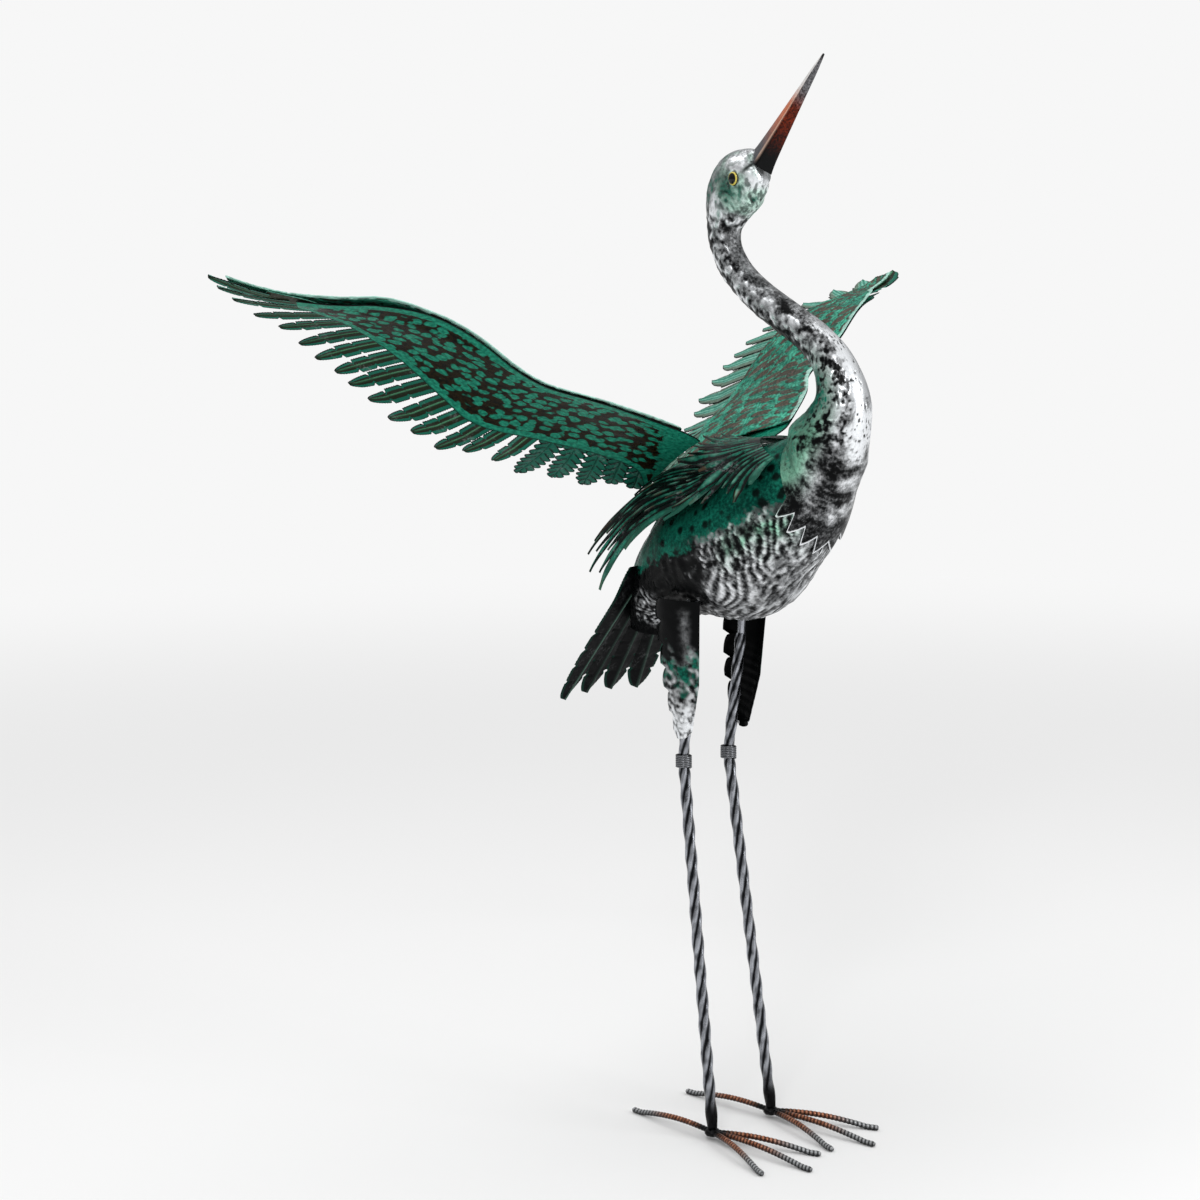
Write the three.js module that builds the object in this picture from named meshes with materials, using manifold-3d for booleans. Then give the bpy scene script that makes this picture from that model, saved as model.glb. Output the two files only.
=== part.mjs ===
// Standing metal crane with raised wings, made of pressed sheet, twisted bar and rod.
// Millimetres, +Z up, +X towards the beak, +Y to the bird's left.
import * as THREE from 'three'
import { mergeVertices } from 'three/addons/utils/BufferGeometryUtils.js'
import Module from 'manifold-3d'

// Whole figure
const originShiftX = 58.8
const gap = 0.3
const sheetThickness = 1.2

// Feet: three front toes and a rear toe of rod round the foot of each leg
const footSpread = 44
const toeRadius = 3
const toeHubHeight = 7.5
const toeArch = 3
const toes = [
  { x: 107, y: 44 },
  { x: 135, y: 4 },
  { x: 113, y: -35 },
  { x: -116, y: -4 },
]
const toeFlatLength = 12

// Legs: twisted bar with a bend under the wire wrap at the knee
const barRadius = 6.1
const barEndRadius = 4.9
const taperLength = 12
const twistPitch = 115
const twistStep = 14.4
const legLift = 2
const kneeGap = 0.9
const kneeX = -49
const kneeSpread = 33
const kneeHeight = 379
const hipX = -36
const hipSpread = 38
const hipHeight = 503
const pegRadius = 4
const pegTopHeight = 550
const pegLean = 3
const upperTwistTurn = 0.6
const wrapHeight = 15
const wrapWire = 1.8
const wrapInnerRadius = 6.7
const wrapTurns = 5
const wrapSides = 9

// Thighs: curved leaf shells outside the upper legs
const thighTop = 545
const thighBottom = 404
const thighTopX = -42
const thighBottomX = -41
const thighTopSpread = 47
const thighBottomSpread = 40
const thighTeeth = 6
const thighToothDepth = 9
const thighHalfWidth = 33
const thighBulgeTop = 12
const thighBulgeBottom = 7
const thighHalfTurn = 1.3
const thighWaist = 0.6

// Body: pressed shell along a bent line from the breast to the cut rear end
const bodyRings = [
  { x: 130, z: 704, up: 2, down: 2, wide: 2 },
  { x: 115, z: 690, up: 32, down: 30, wide: 30 },
  { x: 77, z: 656, up: 57, down: 55, wide: 54 },
  { x: 45, z: 631, up: 61, down: 68, wide: 63 },
  { x: 8, z: 610, up: 58, down: 84, wide: 67 },
  { x: -45, z: 592, up: 56, down: 76, wide: 61 },
  { x: -95, z: 560, up: 42, down: 50, wide: 44 },
  { x: -120, z: 530, up: 28, down: 30, wide: 29 },
  { x: -128, z: 502, up: 19, down: 19, wide: 22 },
]
const bodySides = 20
const bodySteps = 20

// Neck and head: rings from the brow down to the breast
const neckRings = [
  { x: 26, z: 966, deep: 17, wide: 12 },
  { x: 15, z: 962, deep: 25, wide: 19 },
  { x: 0, z: 953, deep: 31, wide: 24 },
  { x: -12, z: 938, deep: 29, wide: 24 },
  { x: -20, z: 920, deep: 22, wide: 20 },
  { x: -23, z: 905, deep: 17.5, wide: 17 },
  { x: -20, z: 888, deep: 16, wide: 16 },
  { x: -9, z: 870, deep: 16, wide: 16 },
  { x: 8, z: 854, deep: 16, wide: 16 },
  { x: 31, z: 838, deep: 17, wide: 17 },
  { x: 60, z: 822, deep: 17.5, wide: 17 },
  { x: 90, z: 805, deep: 18, wide: 18 },
  { x: 114, z: 784, deep: 20, wide: 20 },
  { x: 126, z: 762, deep: 24, wide: 23 },
  { x: 129, z: 742, deep: 29, wide: 27 },
  { x: 123, z: 722, deep: 34, wide: 33 },
  { x: 112, z: 702, deep: 42, wide: 41 },
]

const neckSides = 24

// Collar: the foot of the neck over the front of the body, its edge cut into teeth under the breast
const collarThickness = 2.2
const collarStart = 0.165
const collarEdge = 0.21
const collarEdgeFall = 0.05
const collarSteps = 2
const collarToothedFrom = 1.9
const collarTeeth = 4
const collarToothDepth = 0.045
const collarToothLean = 0.06

// Beak and eyes
const beakTip = { x: 104, z: 1069 }
const beakRings = [
  { along: 0, deep: 17, wide: 11 },
  { along: 0.12, deep: 14, wide: 9.5 },
  { along: 0.5, deep: 8.5, wide: 6 },
  { along: 0.85, deep: 4, wide: 3 },
  { along: 1, deep: 1.2, wide: 1 },
]
const beakRoot = { x: 25, z: 969 }
const eyeX = 8
const eyeHeight = 955
const eyeRadius = 6.3
const eyeSpread = 21

// Wings: nearly flat, set by the root and two directions for the bird's right wing
const wingRoot = new THREE.Vector3(0, -60, 708)
const wingSpan = new THREE.Vector3(-0.432, -0.835, 0.34).normalize()
const wingChord = new THREE.Vector3(-0.875, 0.295, -0.385).normalize()
const wingUp = new THREE.Vector3().crossVectors(wingChord, wingSpan).normalize()
const wristLift = 11
const wristAt = 285
const tipDroop = 16
const trailingLift = 10
const trailingDip = 13
const wingCamber = 8
const liningDepth = -2.6
const covertHeight = 4.6
const frontHeight = 1.1
const wingPanelCells = 13
const leadingEdge = [
  [-4, 9], [10, 2], [30, 0], [100, 1], [155, 11], [195, 0], [240, -17],
  [300, -27], [340, -26], [375, -12], [420, -8], [470, -10], [493, -8],
]
const liningTrailing = [
  [-10, 150], [15, 118], [60, 115], [110, 121], [185, 122], [225, 108], [300, 74], [352, 44], [404, 12],
]
const covertRearTip = [[380, 32], [430, 14], [470, 6]]
const covertCorner = [18, 6]
const covertOverhang = 4
const featherTips = [
  [493, -8], [478, 24], [457, 54], [429, 84], [401, 98], [374, 121], [352, 138],
  [328, 148], [310, 159], [285, 169], [258, 182], [232, 183], [203, 190], [177, 178],
  [142, 188], [108, 207], [74, 196], [43, 188], [22, 165], [0, 158],
]
const slitLine = [
  [440, -2], [400, 6], [352, 34], [300, 62], [225, 98], [185, 112], [110, 112], [55, 106], [0, 112],
]
const slitBand = 14
const featherCount = featherTips.length
const featherHalfWidth = 10.5
const featherStations = [0.15, 0.7, 0.73, 1]
const featherWidths = [1, 0.95, 0.62, 0.16]

// Mantle: fringed sheets over the back
const mantleRows = 4
const mantleClearance = 2.6
const mantleLoft = 14
const mantleStrips = 15
const fringeRows = [
  { along: 0, width: 1 },
  { along: 0.16, width: 1 },
  { along: 0.6, width: 0.85 },
  { along: 1, width: 0.25 },
]
const fringeUneven = 0.13
const ruffStrips = 17
const ruffClearance = 7
const ruffSideLift = 5
const ruffLift = 26

// Tail: a fan of four wide feathers
const tailFeathers = [-1.5, -0.5, 0.5, 1.5]
const tailTipSpread = 35
const tailRootSpread = 12
const tailLength = 172
const tailHalfWidth = 21
const tailRootFlare = 0.5
const tailFold = 4
const tailCurveRadius = 250
const tailSteps = 5
const tailNotchStep = 3
const tailRoot = { x: -112, z: 574 }
const tailDirection = { x: -0.56, z: -0.83 }

const wasm = await Module()
wasm.setup()

function toSolid(geometry) {
  const bare = geometry.clone()
  bare.deleteAttribute('normal')
  bare.deleteAttribute('uv')
  const merged = mergeVertices(bare, 1e-3)
  const position = merged.attributes.position.array
  const index = Uint32Array.from(merged.index.array)
  const a = new THREE.Vector3()
  const b = new THREE.Vector3()
  const c = new THREE.Vector3()
  let volume = 0
  for (let i = 0; i < index.length; i += 3) {
    a.fromArray(position, index[i] * 3)
    b.fromArray(position, index[i + 1] * 3)
    c.fromArray(position, index[i + 2] * 3)
    volume += a.dot(b.cross(c))
  }
  if (volume < 0) {
    for (let i = 0; i < index.length; i += 3) {
      const first = index[i]
      index[i] = index[i + 1]
      index[i + 1] = first
    }
  }
  const vertProperties = Float32Array.from(position)
  return new wasm.Manifold(new wasm.Mesh({ numProp: 3, vertProperties, triVerts: index }))
}

function toGeometry(solid) {
  const mesh = solid.getMesh()
  const geometry = new THREE.BufferGeometry()
  geometry.setAttribute('position', new THREE.BufferAttribute(mesh.vertProperties, 3))
  geometry.setIndex(new THREE.BufferAttribute(mesh.triVerts, 1))
  return geometry
}

function mirrored(solid) {
  const geometry = toGeometry(solid)
  geometry.scale(1, -1, 1)
  return toSolid(geometry)
}

function fused(solids) {
  return withoutPockets(solids.reduce((whole, solid) => whole.add(solid)))
}

function largestPiece(solid) {
  return solid.decompose().reduce((best, piece) => (piece.volume() > best.volume() ? piece : best))
}

// The same solid without the small closed pockets that can stay between overlapping sheets
function withoutPockets(solid) {
  const { vertProperties, triVerts } = solid.getMesh()
  const leader = Array.from({ length: vertProperties.length / 3 }, (_, vertex) => vertex)
  const lead = (vertex) => {
    while (leader[vertex] !== vertex) vertex = leader[vertex]
    return vertex
  }
  for (let i = 0; i < triVerts.length; i += 3) {
    leader[lead(triVerts[i + 1])] = lead(triVerts[i])
    leader[lead(triVerts[i + 2])] = lead(triVerts[i])
  }
  const volumes = new Map()
  const corners = [new THREE.Vector3(), new THREE.Vector3(), new THREE.Vector3()]
  for (let i = 0; i < triVerts.length; i += 3) {
    corners.forEach((corner, j) => corner.fromArray(vertProperties, triVerts[i + j] * 3))
    const shell = lead(triVerts[i])
    const volume = corners[0].dot(corners[1].cross(corners[2]))
    volumes.set(shell, (volumes.get(shell) ?? 0) + volume)
  }
  const kept = []
  for (let i = 0; i < triVerts.length; i += 3) {
    if (volumes.get(lead(triVerts[i])) > 0) kept.push(...triVerts.slice(i, i + 3))
  }
  return new wasm.Manifold(new wasm.Mesh({ numProp: 3, vertProperties, triVerts: Uint32Array.from(kept) }))
}

// A closed box of across by along cells, each corner placed by a function of u, v and w from 0 to 1
function bentBox(across, along, place) {
  const geometry = new THREE.BoxGeometry(1, 1, 1, across, along, 1)
  const position = geometry.attributes.position
  for (let i = 0; i < position.count; i++) {
    const at = place(position.getX(i) + 0.5, position.getY(i) + 0.5, position.getZ(i) + 0.5)
    position.setXYZ(i, at.x, at.y, at.z)
  }
  return toSolid(geometry)
}

// A closed tube of rings, each point placed by its turn, its place along and 0 or 1 for the middle or rim
function ringed(sides, steps, place) {
  const geometry = new THREE.CylinderGeometry(1, 1, 1, sides, steps)
  const position = geometry.attributes.position
  for (let i = 0; i < position.count; i++) {
    const turn = Math.atan2(position.getX(i), position.getZ(i))
    const rim = Math.hypot(position.getX(i), position.getZ(i)) > 0.5 ? 1 : 0
    const at = place(rim ? turn : 0, 0.5 - position.getY(i), rim)
    position.setXYZ(i, at.x, at.y, at.z)
  }
  return toSolid(geometry)
}

function smoothStep(from, to, value) {
  return THREE.MathUtils.smoothstep(value, from, to)
}

function bell(value, centre, width) {
  return Math.exp(-(((value - centre) / width) ** 2))
}

function spline(points) {
  return new THREE.SplineCurve(points.map(([x, y]) => new THREE.Vector2(x, y)))
}

// The value of a named size at a place from 0 to 1 along a list of rings
function sizeAlong(rings, name, place) {
  const last = rings.length - 1
  const step = Math.min(Math.floor(place * last), last - 1)
  const t = place * last - step
  const before = rings[Math.max(step - 1, 0)][name]
  const from = rings[step][name]
  const to = rings[step + 1][name]
  const after = rings[Math.min(step + 2, last)][name]
  const slopeFrom = (to - before) / 2
  const slopeTo = (after - from) / 2
  const bend = t * t * (3 - 2 * t)
  const lean = t * (1 - t) * ((1 - t) * slopeFrom - t * slopeTo)
  return from + (to - from) * bend + lean
}

function middleLine(rings, place) {
  return new THREE.Vector3(sizeAlong(rings, 'x', place), 0, sizeAlong(rings, 'z', place))
}

function directionAlong(rings, place) {
  const from = middleLine(rings, Math.max(place - 0.01, 0))
  const to = middleLine(rings, Math.min(place + 0.01, 1))
  return to.sub(from).normalize()
}

// A point of the body shell: turn is 0 on the back and positive to the bird's left
function bodyPoint(turn, place, offset) {
  const centre = middleLine(bodyRings, place)
  const direction = directionAlong(bodyRings, place)
  const up = new THREE.Vector3(direction.z, 0, -direction.x)
  if (place > 0) up.normalize()
  const rise = Math.cos(turn)
  const deep = sizeAlong(bodyRings, rise > 0 ? 'up' : 'down', place) + offset
  const wide = sizeAlong(bodyRings, 'wide', place) + offset
  centre.addScaledVector(up, rise * deep)
  centre.y += Math.sin(turn) * wide
  return centre
}

function bodySolid(offset) {
  return ringed(bodySides, bodySteps, (turn, place, rim) => {
    if (rim) return bodyPoint(turn, place, offset)
    const centre = middleLine(bodyRings, place)
    return centre.addScaledVector(directionAlong(bodyRings, place), place > 0.5 ? offset : -offset)
  })
}

function neckPoint(turn, place, rim) {
  const centre = middleLine(neckRings, place)
  if (!rim) return centre
  const direction = directionAlong(neckRings, place)
  const back = new THREE.Vector3(direction.z, 0, -direction.x)
  centre.addScaledVector(back, Math.cos(turn) * sizeAlong(neckRings, 'deep', place))
  centre.y += Math.sin(turn) * sizeAlong(neckRings, 'wide', place)
  return centre
}

// The neck's sides are narrow over the toothed part of the collar and wide above it
function neckTurn(turn) {
  const plainSides = neckSides / 2 - 2 * collarTeeth
  const side = Math.abs(turn) / Math.PI * neckSides / 2
  const toothed = (side - plainSides) / (2 * collarTeeth)
  if (side <= plainSides) return collarToothedFrom * Math.sign(turn) * side / plainSides
  return Math.sign(turn) * THREE.MathUtils.lerp(collarToothedFrom, Math.PI, toothed)
}

// A point of the collar, reach being 0 at the neck and 1 at the edge
function collarPoint(turn, reach) {
  const side = Math.sign(turn)
  const toothed = (Math.abs(turn) - collarToothedFrom) / (Math.PI - collarToothedFrom)
  const isTip = toothed > 0 && Math.round(toothed * 2 * collarTeeth) % 2 === 1
  const tooth = reach === 1 && isTip ? 1 : 0
  const edge = collarEdge + collarEdgeFall * toothed
  const place = THREE.MathUtils.lerp(collarStart, edge, reach) + tooth * collarToothDepth
  return bodyPoint(turn - side * tooth * collarToothLean, place, collarThickness + gap)
}

function neckAndHead(bodyWithGap) {
  const neckSteps = neckRings.length - 1
  const steps = neckSteps + collarSteps + 1
  const neck = ringed(neckSides, steps, (turn, place, rim) => {
    const step = Math.round(place * steps)
    if (step <= neckSteps) return neckPoint(neckTurn(turn), step / neckSteps, rim)
    if (!rim) return middleLine(bodyRings, collarStart)
    return collarPoint(neckTurn(turn), (step - neckSteps - 1) / collarSteps)
  })
  return neck.subtract(bodyWithGap)
}

function beak(offset) {
  return ringed(4, beakRings.length - 1, (turn, place, rim) => beakPoint(turn, place, rim, offset))
}

function beakPoint(turn, place, rim, offset) {
  const along = sizeAlong(beakRings, 'along', place)
  const centre = new THREE.Vector3(
    THREE.MathUtils.lerp(beakRoot.x, beakTip.x, along), 0,
    THREE.MathUtils.lerp(beakRoot.z, beakTip.z, along),
  )
  if (!rim) return centre
  const lean = Math.atan2(beakTip.z - beakRoot.z, beakTip.x - beakRoot.x)
  const up = Math.cos(turn) * (sizeAlong(beakRings, 'deep', place) + offset)
  centre.x -= Math.sin(lean) * up
  centre.z += Math.cos(lean) * up
  centre.y += Math.sin(turn) * (sizeAlong(beakRings, 'wide', place) + offset)
  return centre
}

// Height of a wing sheet above the flat plane of the wing
function wingLift(span, chord) {
  const lead = wristLift * bell(span, wristAt, 70) - tipDroop * smoothStep(340, 470, span)
  const trail = trailingLift * smoothStep(240, 350, span) - trailingDip * bell(span, 190, 60)
  const back = chord / 170
  const camber = wingCamber * Math.sin(Math.PI * THREE.MathUtils.clamp(chord / 150, 0, 1))
  return lead * (1 - back) + trail * back + camber
}

function wingPoint(span, chord, height) {
  return wingRoot.clone()
    .addScaledVector(wingSpan, span)
    .addScaledVector(wingChord, chord)
    .addScaledVector(wingUp, wingLift(span, chord) + height)
}

// A wing sheet between its front and rear edges, close to the other sheet along the front edge of the
// inner wing and at its full height elsewhere. The front edge is used up to frontReach of its length.
function wingPanel(frontEdge, rearEdge, heightAtFront, fullHeight, frontReach) {
  const front = spline(frontEdge)
  const rear = spline(rearEdge)
  return bentBox(2, wingPanelCells, (u, v, w) => {
    const from = front.getPointAt(v * frontReach)
    const to = rear.getPointAt(v)
    const at = from.lerp(to, u)
    const opened = Math.max(smoothStep(0, 0.5, u), smoothStep(290, 340, at.x))
    const height = THREE.MathUtils.lerp(heightAtFront, fullHeight, opened)
    return wingPoint(at.x, at.y, height + (w - 0.5) * sheetThickness)
  })
}

// Half width of a tail feather along its length: broad at the root, then even, then a blunt point
function tailWidth(along) {
  const flare = 1 + tailRootFlare * (1 - smoothStep(0, 0.3, along))
  const point = Math.sqrt(1 - Math.max((along - 0.6) / 0.41, 0) ** 2)
  return tailHalfWidth * flare * point
}

function wingLining() {
  return wingPanel(leadingEdge, liningTrailing, -frontHeight, liningDepth, 0.84)
}

// The upper sheet stands out a little in front of the lining
function coverts() {
  const overhang = leadingEdge.slice(2, -3).map(([span, chord]) => [span, chord - covertOverhang])
  const frontEdge = [covertCorner, ...overhang, ...leadingEdge.slice(-3)]
  const rearEdge = [...liningTrailing.slice(0, -2), ...covertRearTip]
  return wingPanel(frontEdge, rearEdge, frontHeight, covertHeight, 0.97)
}

// The flight feathers: a comb along the rear edge of the wing, slit between the feathers
function flightFeathers() {
  const slits = spline(slitLine)
  return comb(featherCount, featherStations.length + 1, 1, (feather, side, row, face) => {
    const height = (face - 0.5) * sheetThickness
    if (row <= 1) {
      const at = slits.getPointAt((feather + side) / featherCount)
      return wingPoint(at.x, at.y - (1 - row) * slitBand, height)
    }
    const middle = (feather + 0.5) / featherCount
    const root = slits.getPointAt(middle)
    const tip = new THREE.Vector2(...featherTips[feather])
    const outwards = tip.clone().sub(root).normalize()
    const half = (2 * side - 1) * featherHalfWidth * featherWidths[row - 2]
    const at = root.lerp(tip, featherStations[row - 2])
    return wingPoint(at.x - half * outwards.y, at.y + half * outwards.x, height)
  })
}

// A comb: strips of one sheet, joined side by side over their first rows and parted from there on.
// Each corner is placed by its strip, side 0 or 1, row and face 0 or 1.
function comb(count, rows, joined, place) {
  const corners = []
  const last = count - 1
  const addQuad = (strip, ...quad) => {
    const [a, b, c, d] = quad.map(([side, row, face]) => place(strip, side, row, face))
    corners.push(a, b, c, a, c, d)
  }
  for (let strip = 0; strip < count; strip++) {
    for (let row = 0; row < rows; row++) {
      const parted = row >= joined
      addQuad(strip, [0, row, 1], [1, row, 1], [1, row + 1, 1], [0, row + 1, 1])
      addQuad(strip, [0, row, 0], [0, row + 1, 0], [1, row + 1, 0], [1, row, 0])
      if (parted || strip === 0) addQuad(strip, [0, row, 0], [0, row, 1], [0, row + 1, 1], [0, row + 1, 0])
      if (parted || strip === last) addQuad(strip, [1, row, 1], [1, row, 0], [1, row + 1, 0], [1, row + 1, 1])
    }
    addQuad(strip, [0, 0, 0], [1, 0, 0], [1, 0, 1], [0, 0, 1])
    addQuad(strip, [0, rows, 0], [0, rows, 1], [1, rows, 1], [1, rows, 0])
  }
  return toSolid(new THREE.BufferGeometry().setFromPoints(corners))
}

// A fringe: a comb whose strips narrow to their tips, placed by across from -1 to 1, along and height
function fringe(count, place) {
  return comb(count, fringeRows.length - 1, 1, (strip, side, row, face) => {
    const { along, width } = fringeRows[row]
    const height = face * sheetThickness
    const length = row > 1 ? 1 - fringeUneven * ((strip * 5) % 3) : 1
    const across = ((strip + 0.5 + (side - 0.5) * width) / count) * 2 - 1
    return place(across, length * along, height)
  })
}

// Height of the mantle over the body, growing from the collar to the roots of the wings
function mantleHeight(place) {
  return mantleClearance + mantleLoft * smoothStep(0.25, 0.6, place)
}

// A row of the mantle, its strips running back and down beside the body
function mantleRow(row) {
  const back = row / (mantleRows - 1)
  const from = THREE.MathUtils.lerp(0.27, 0.56, back)
  const reach = THREE.MathUtils.lerp(0.2, 0.25, back ** 2)
  const rootHalfTurn = THREE.MathUtils.lerp(0.8, 1.1, back)
  const tipHalfTurn = THREE.MathUtils.lerp(1.2, 1.55, back)
  const rise = THREE.MathUtils.lerp(8, 32, back ** 2.2)
  return fringe(mantleStrips, (across, along, height) => {
    const turn = -across * THREE.MathUtils.lerp(rootHalfTurn, tipHalfTurn, along)
    const place = from + reach * along
    return bodyPoint(turn, place, mantleHeight(place) + rise * along + height)
  })
}

// The ruff: strips that fan back from the foot of the neck. The middle ones pass over the roots of
// the wings and those on each side hang down under them, the last from a corner on the shoulder.
function ruff(neckWithGap) {
  const strips = fringe(ruffStrips, (across, along, height) => {
    const aside = Math.abs(across)
    const under = smoothStep(0.5, 0.7, aside)
    const beside = Math.max(2 * aside - 1, 0)
    const rootTurn = 1.2 * aside
    const tipTurn = THREE.MathUtils.lerp(rootTurn, 1 + 0.6 * beside, under)
    const turn = THREE.MathUtils.lerp(rootTurn, tipTurn, along ** 1.3)
    const place = THREE.MathUtils.lerp(0.25 - 0.07 * aside, 0.5 - 0.25 * beside ** 1.3, along ** 0.9)
    const rise = THREE.MathUtils.lerp(ruffLift, ruffSideLift, under)
    const lift = mantleHeight(place) + ruffClearance + rise * along
    return bodyPoint(-Math.sign(across) * turn, place, lift + height)
  })
  return largestPiece(withoutPockets(strips.subtract(neckWithGap)))
}

// Four wide feathers, each folded a little along its midrib, in a fan under the cut end of the body
function tail(bodyWithGap) {
  const down = new THREE.Vector3(tailDirection.x, 0, tailDirection.z).normalize()
  const out = new THREE.Vector3(down.z, 0, -down.x)
  const at = (spread, along, w) => {
    const point = new THREE.Vector3(tailRoot.x, 0, tailRoot.z)
    point.addScaledVector(down, along * tailLength)
    point.y = -spread
    return point.addScaledVector(out, (w - 0.5) * sheetThickness - spread ** 2 / tailCurveRadius / 2)
  }
  const feathers = tailFeathers.map((place, number) => bentBox(2, tailSteps, (u, v, w) => {
    const width = tailWidth(v)
    const notch = Math.round(v * tailSteps) === tailNotchStep ? 0.8 : 1
    const spread = place * THREE.MathUtils.lerp(tailRootSpread, tailTipSpread, v)
    const point = at(spread + (2 * u - 1) * width * notch, v, w)
    const fold = tailFold * (1 - Math.abs(2 * u - 1)) + (number % 2) * sheetThickness / 2
    return point.addScaledVector(out, -fold)
  }))
  return fused(feathers).subtract(bodyWithGap)
}

// A square bar twisted along its length. An end with a taper of 1 narrows to fit inside the knee wrap.
function barBetween(from, to, turnFrom, taperFrom, taperTo) {
  const length = from.distanceTo(to)
  const steps = Math.round(length / twistStep)
  const axis = to.clone().sub(from).normalize()
  const side = new THREE.Vector3(0, 1, 0).cross(axis).normalize()
  const other = axis.clone().cross(side)
  return ringed(4, steps, (turn, place, rim) => {
    const at = from.clone().lerp(to, place)
    if (!rim) return at
    const nearFrom = taperFrom * (1 - place * length / taperLength)
    const nearTo = taperTo * (1 - (1 - place) * length / taperLength)
    const radius = THREE.MathUtils.lerp(barRadius, barEndRadius, Math.max(nearFrom, nearTo, 0))
    const twist = turn + turnFrom + (place * length / twistPitch) * Math.PI * 2
    return at.addScaledVector(side, radius * Math.cos(twist)).addScaledVector(other, radius * Math.sin(twist))
  })
}

// A plain round peg between two points
function pegBetween(from, to, radius) {
  return ringed(8, 1, (turn, place, rim) => {
    const at = from.clone().lerp(to, place)
    at.x += rim * radius * Math.cos(turn)
    at.y += rim * radius * Math.sin(turn)
    return at
  })
}

function lowerLeg(side) {
  const foot = new THREE.Vector3(0, side * footSpread, toeHubHeight + toeRadius + legLift)
  const knee = new THREE.Vector3(kneeX, side * kneeSpread, kneeHeight - kneeGap)
  return barBetween(foot, knee, 0, 0, 1)
}

function upperLeg(side, bodyWithGap) {
  const knee = new THREE.Vector3(kneeX, side * kneeSpread, kneeHeight + kneeGap)
  const hip = new THREE.Vector3(hipX, side * hipSpread, hipHeight)
  const pegTop = new THREE.Vector3(hipX + pegLean, side * hipSpread, pegTopHeight)
  const bar = barBetween(knee, hip, upperTwistTurn, 1, 1)
  const peg = pegBetween(hip.clone().setZ(hipHeight - pegRadius), pegTop, pegRadius)
  return bar.add(peg).subtract(bodyWithGap)
}

// The wire wound round the knee: a ring with one ridge for each turn of wire
function kneeWrap(side) {
  const pitch = wrapHeight / wrapTurns
  const ridge = wrapInnerRadius + wrapWire
  const valley = wrapInnerRadius + wrapWire * 0.7
  const profile = [new THREE.Vector2(wrapInnerRadius, -wrapHeight / 2)]
  for (let turn = 0; turn < wrapTurns; turn++) {
    const start = -wrapHeight / 2 + turn * pitch
    profile.push(new THREE.Vector2(valley, start + pitch * 0.05))
    profile.push(new THREE.Vector2(ridge, start + pitch / 2))
  }
  profile.push(new THREE.Vector2(valley, wrapHeight / 2))
  profile.push(new THREE.Vector2(wrapInnerRadius, wrapHeight / 2))
  profile.push(profile[0].clone())
  const geometry = new THREE.LatheGeometry(profile, wrapSides)
  geometry.rotateX(Math.PI / 2)
  geometry.translate(kneeX, side * kneeSpread, kneeHeight)
  return toSolid(geometry)
}

// A curved leaf outside the upper leg, with teeth down its rear edge
function thigh(side, bodyWithGap) {
  const steps = 2 * thighTeeth
  return bentBox(4, steps, (u, v, w) => {
    const step = Math.round(v * steps)
    const tooth = step % 2 === 0 && step > 0 ? 1 : 0
    const below = Math.max(v - thighWaist, 0) / (1 - thighWaist)
    const taper = 1 - 0.2 * Math.min(v / thighWaist, 1) - 0.46 * below
    const bulge = THREE.MathUtils.lerp(thighBulgeTop, thighBulgeBottom, v)
    const turn = (2 * u - 1) * thighHalfTurn
    const rear = u === 0 ? thighToothDepth * (1 - tooth) : 0
    const thicker = (w - 0.5) * sheetThickness
    const middleX = THREE.MathUtils.lerp(thighTopX, thighBottomX, v)
    const middleY = THREE.MathUtils.lerp(thighTopSpread, thighBottomSpread, v)
    const x = middleX + (thighHalfWidth * taper + thicker) * Math.sin(turn) + rear
    const y = middleY + (bulge + thicker) * Math.cos(turn)
    return new THREE.Vector3(x, side * y, THREE.MathUtils.lerp(thighTop, thighBottom, v))
  }).subtract(bodyWithGap)
}

// One toe: a six-sided rod that arches from the foot of the leg and lies flat at its tip
function toe(side, target) {
  const from = new THREE.Vector3(0, side * footSpread, toeHubHeight)
  const away = new THREE.Vector3(target.x, side * target.y, 0)
  const length = away.length()
  away.normalize()
  const beside = new THREE.Vector3(-away.y, away.x, 0)
  const flatFrom = 1 - toeFlatLength / length
  const stations = [0, 0.25, 0.5, 0.78, flatFrom, 1]
  const steps = stations.length - 1
  return ringed(6, steps, (turn, place, rim) => {
    const along = Math.min(stations[Math.round(place * steps)] / flatFrom, 1)
    const arch = toeArch * Math.max(Math.sin(Math.PI * along), 0)
    const at = from.clone().addScaledVector(away, stations[Math.round(place * steps)] * length)
    at.z = THREE.MathUtils.lerp(toeHubHeight, toeRadius, along ** 2) + arch
    if (!rim) return at
    at.addScaledVector(beside, toeRadius * Math.cos(turn))
    at.z += toeRadius * Math.sin(turn) / Math.sin(Math.PI / 3)
    return at
  })
}

function foot(side) {
  return fused(toes.map((target) => toe(side, target)))
}

function eye(side, offset) {
  const geometry = new THREE.SphereGeometry(eyeRadius + offset, 8, 6)
  geometry.scale(1, 0.5, 1.15)
  geometry.translate(eyeX, side * eyeSpread, eyeHeight)
  return toSolid(geometry)
}

const group = new THREE.Group()
group.position.x = originShiftX

function addPiece(name, solid, color, roughness, metalness) {
  const material = new THREE.MeshStandardMaterial({ color, roughness, metalness })
  const mesh = new THREE.Mesh(toGeometry(solid), material)
  mesh.name = name
  group.add(mesh)
}

const sides = [['right', -1], ['left', 1]]
const steel = 0x9a9c9e
const teal = 0x23826e
const dark = 0x2a2c2b

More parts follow.
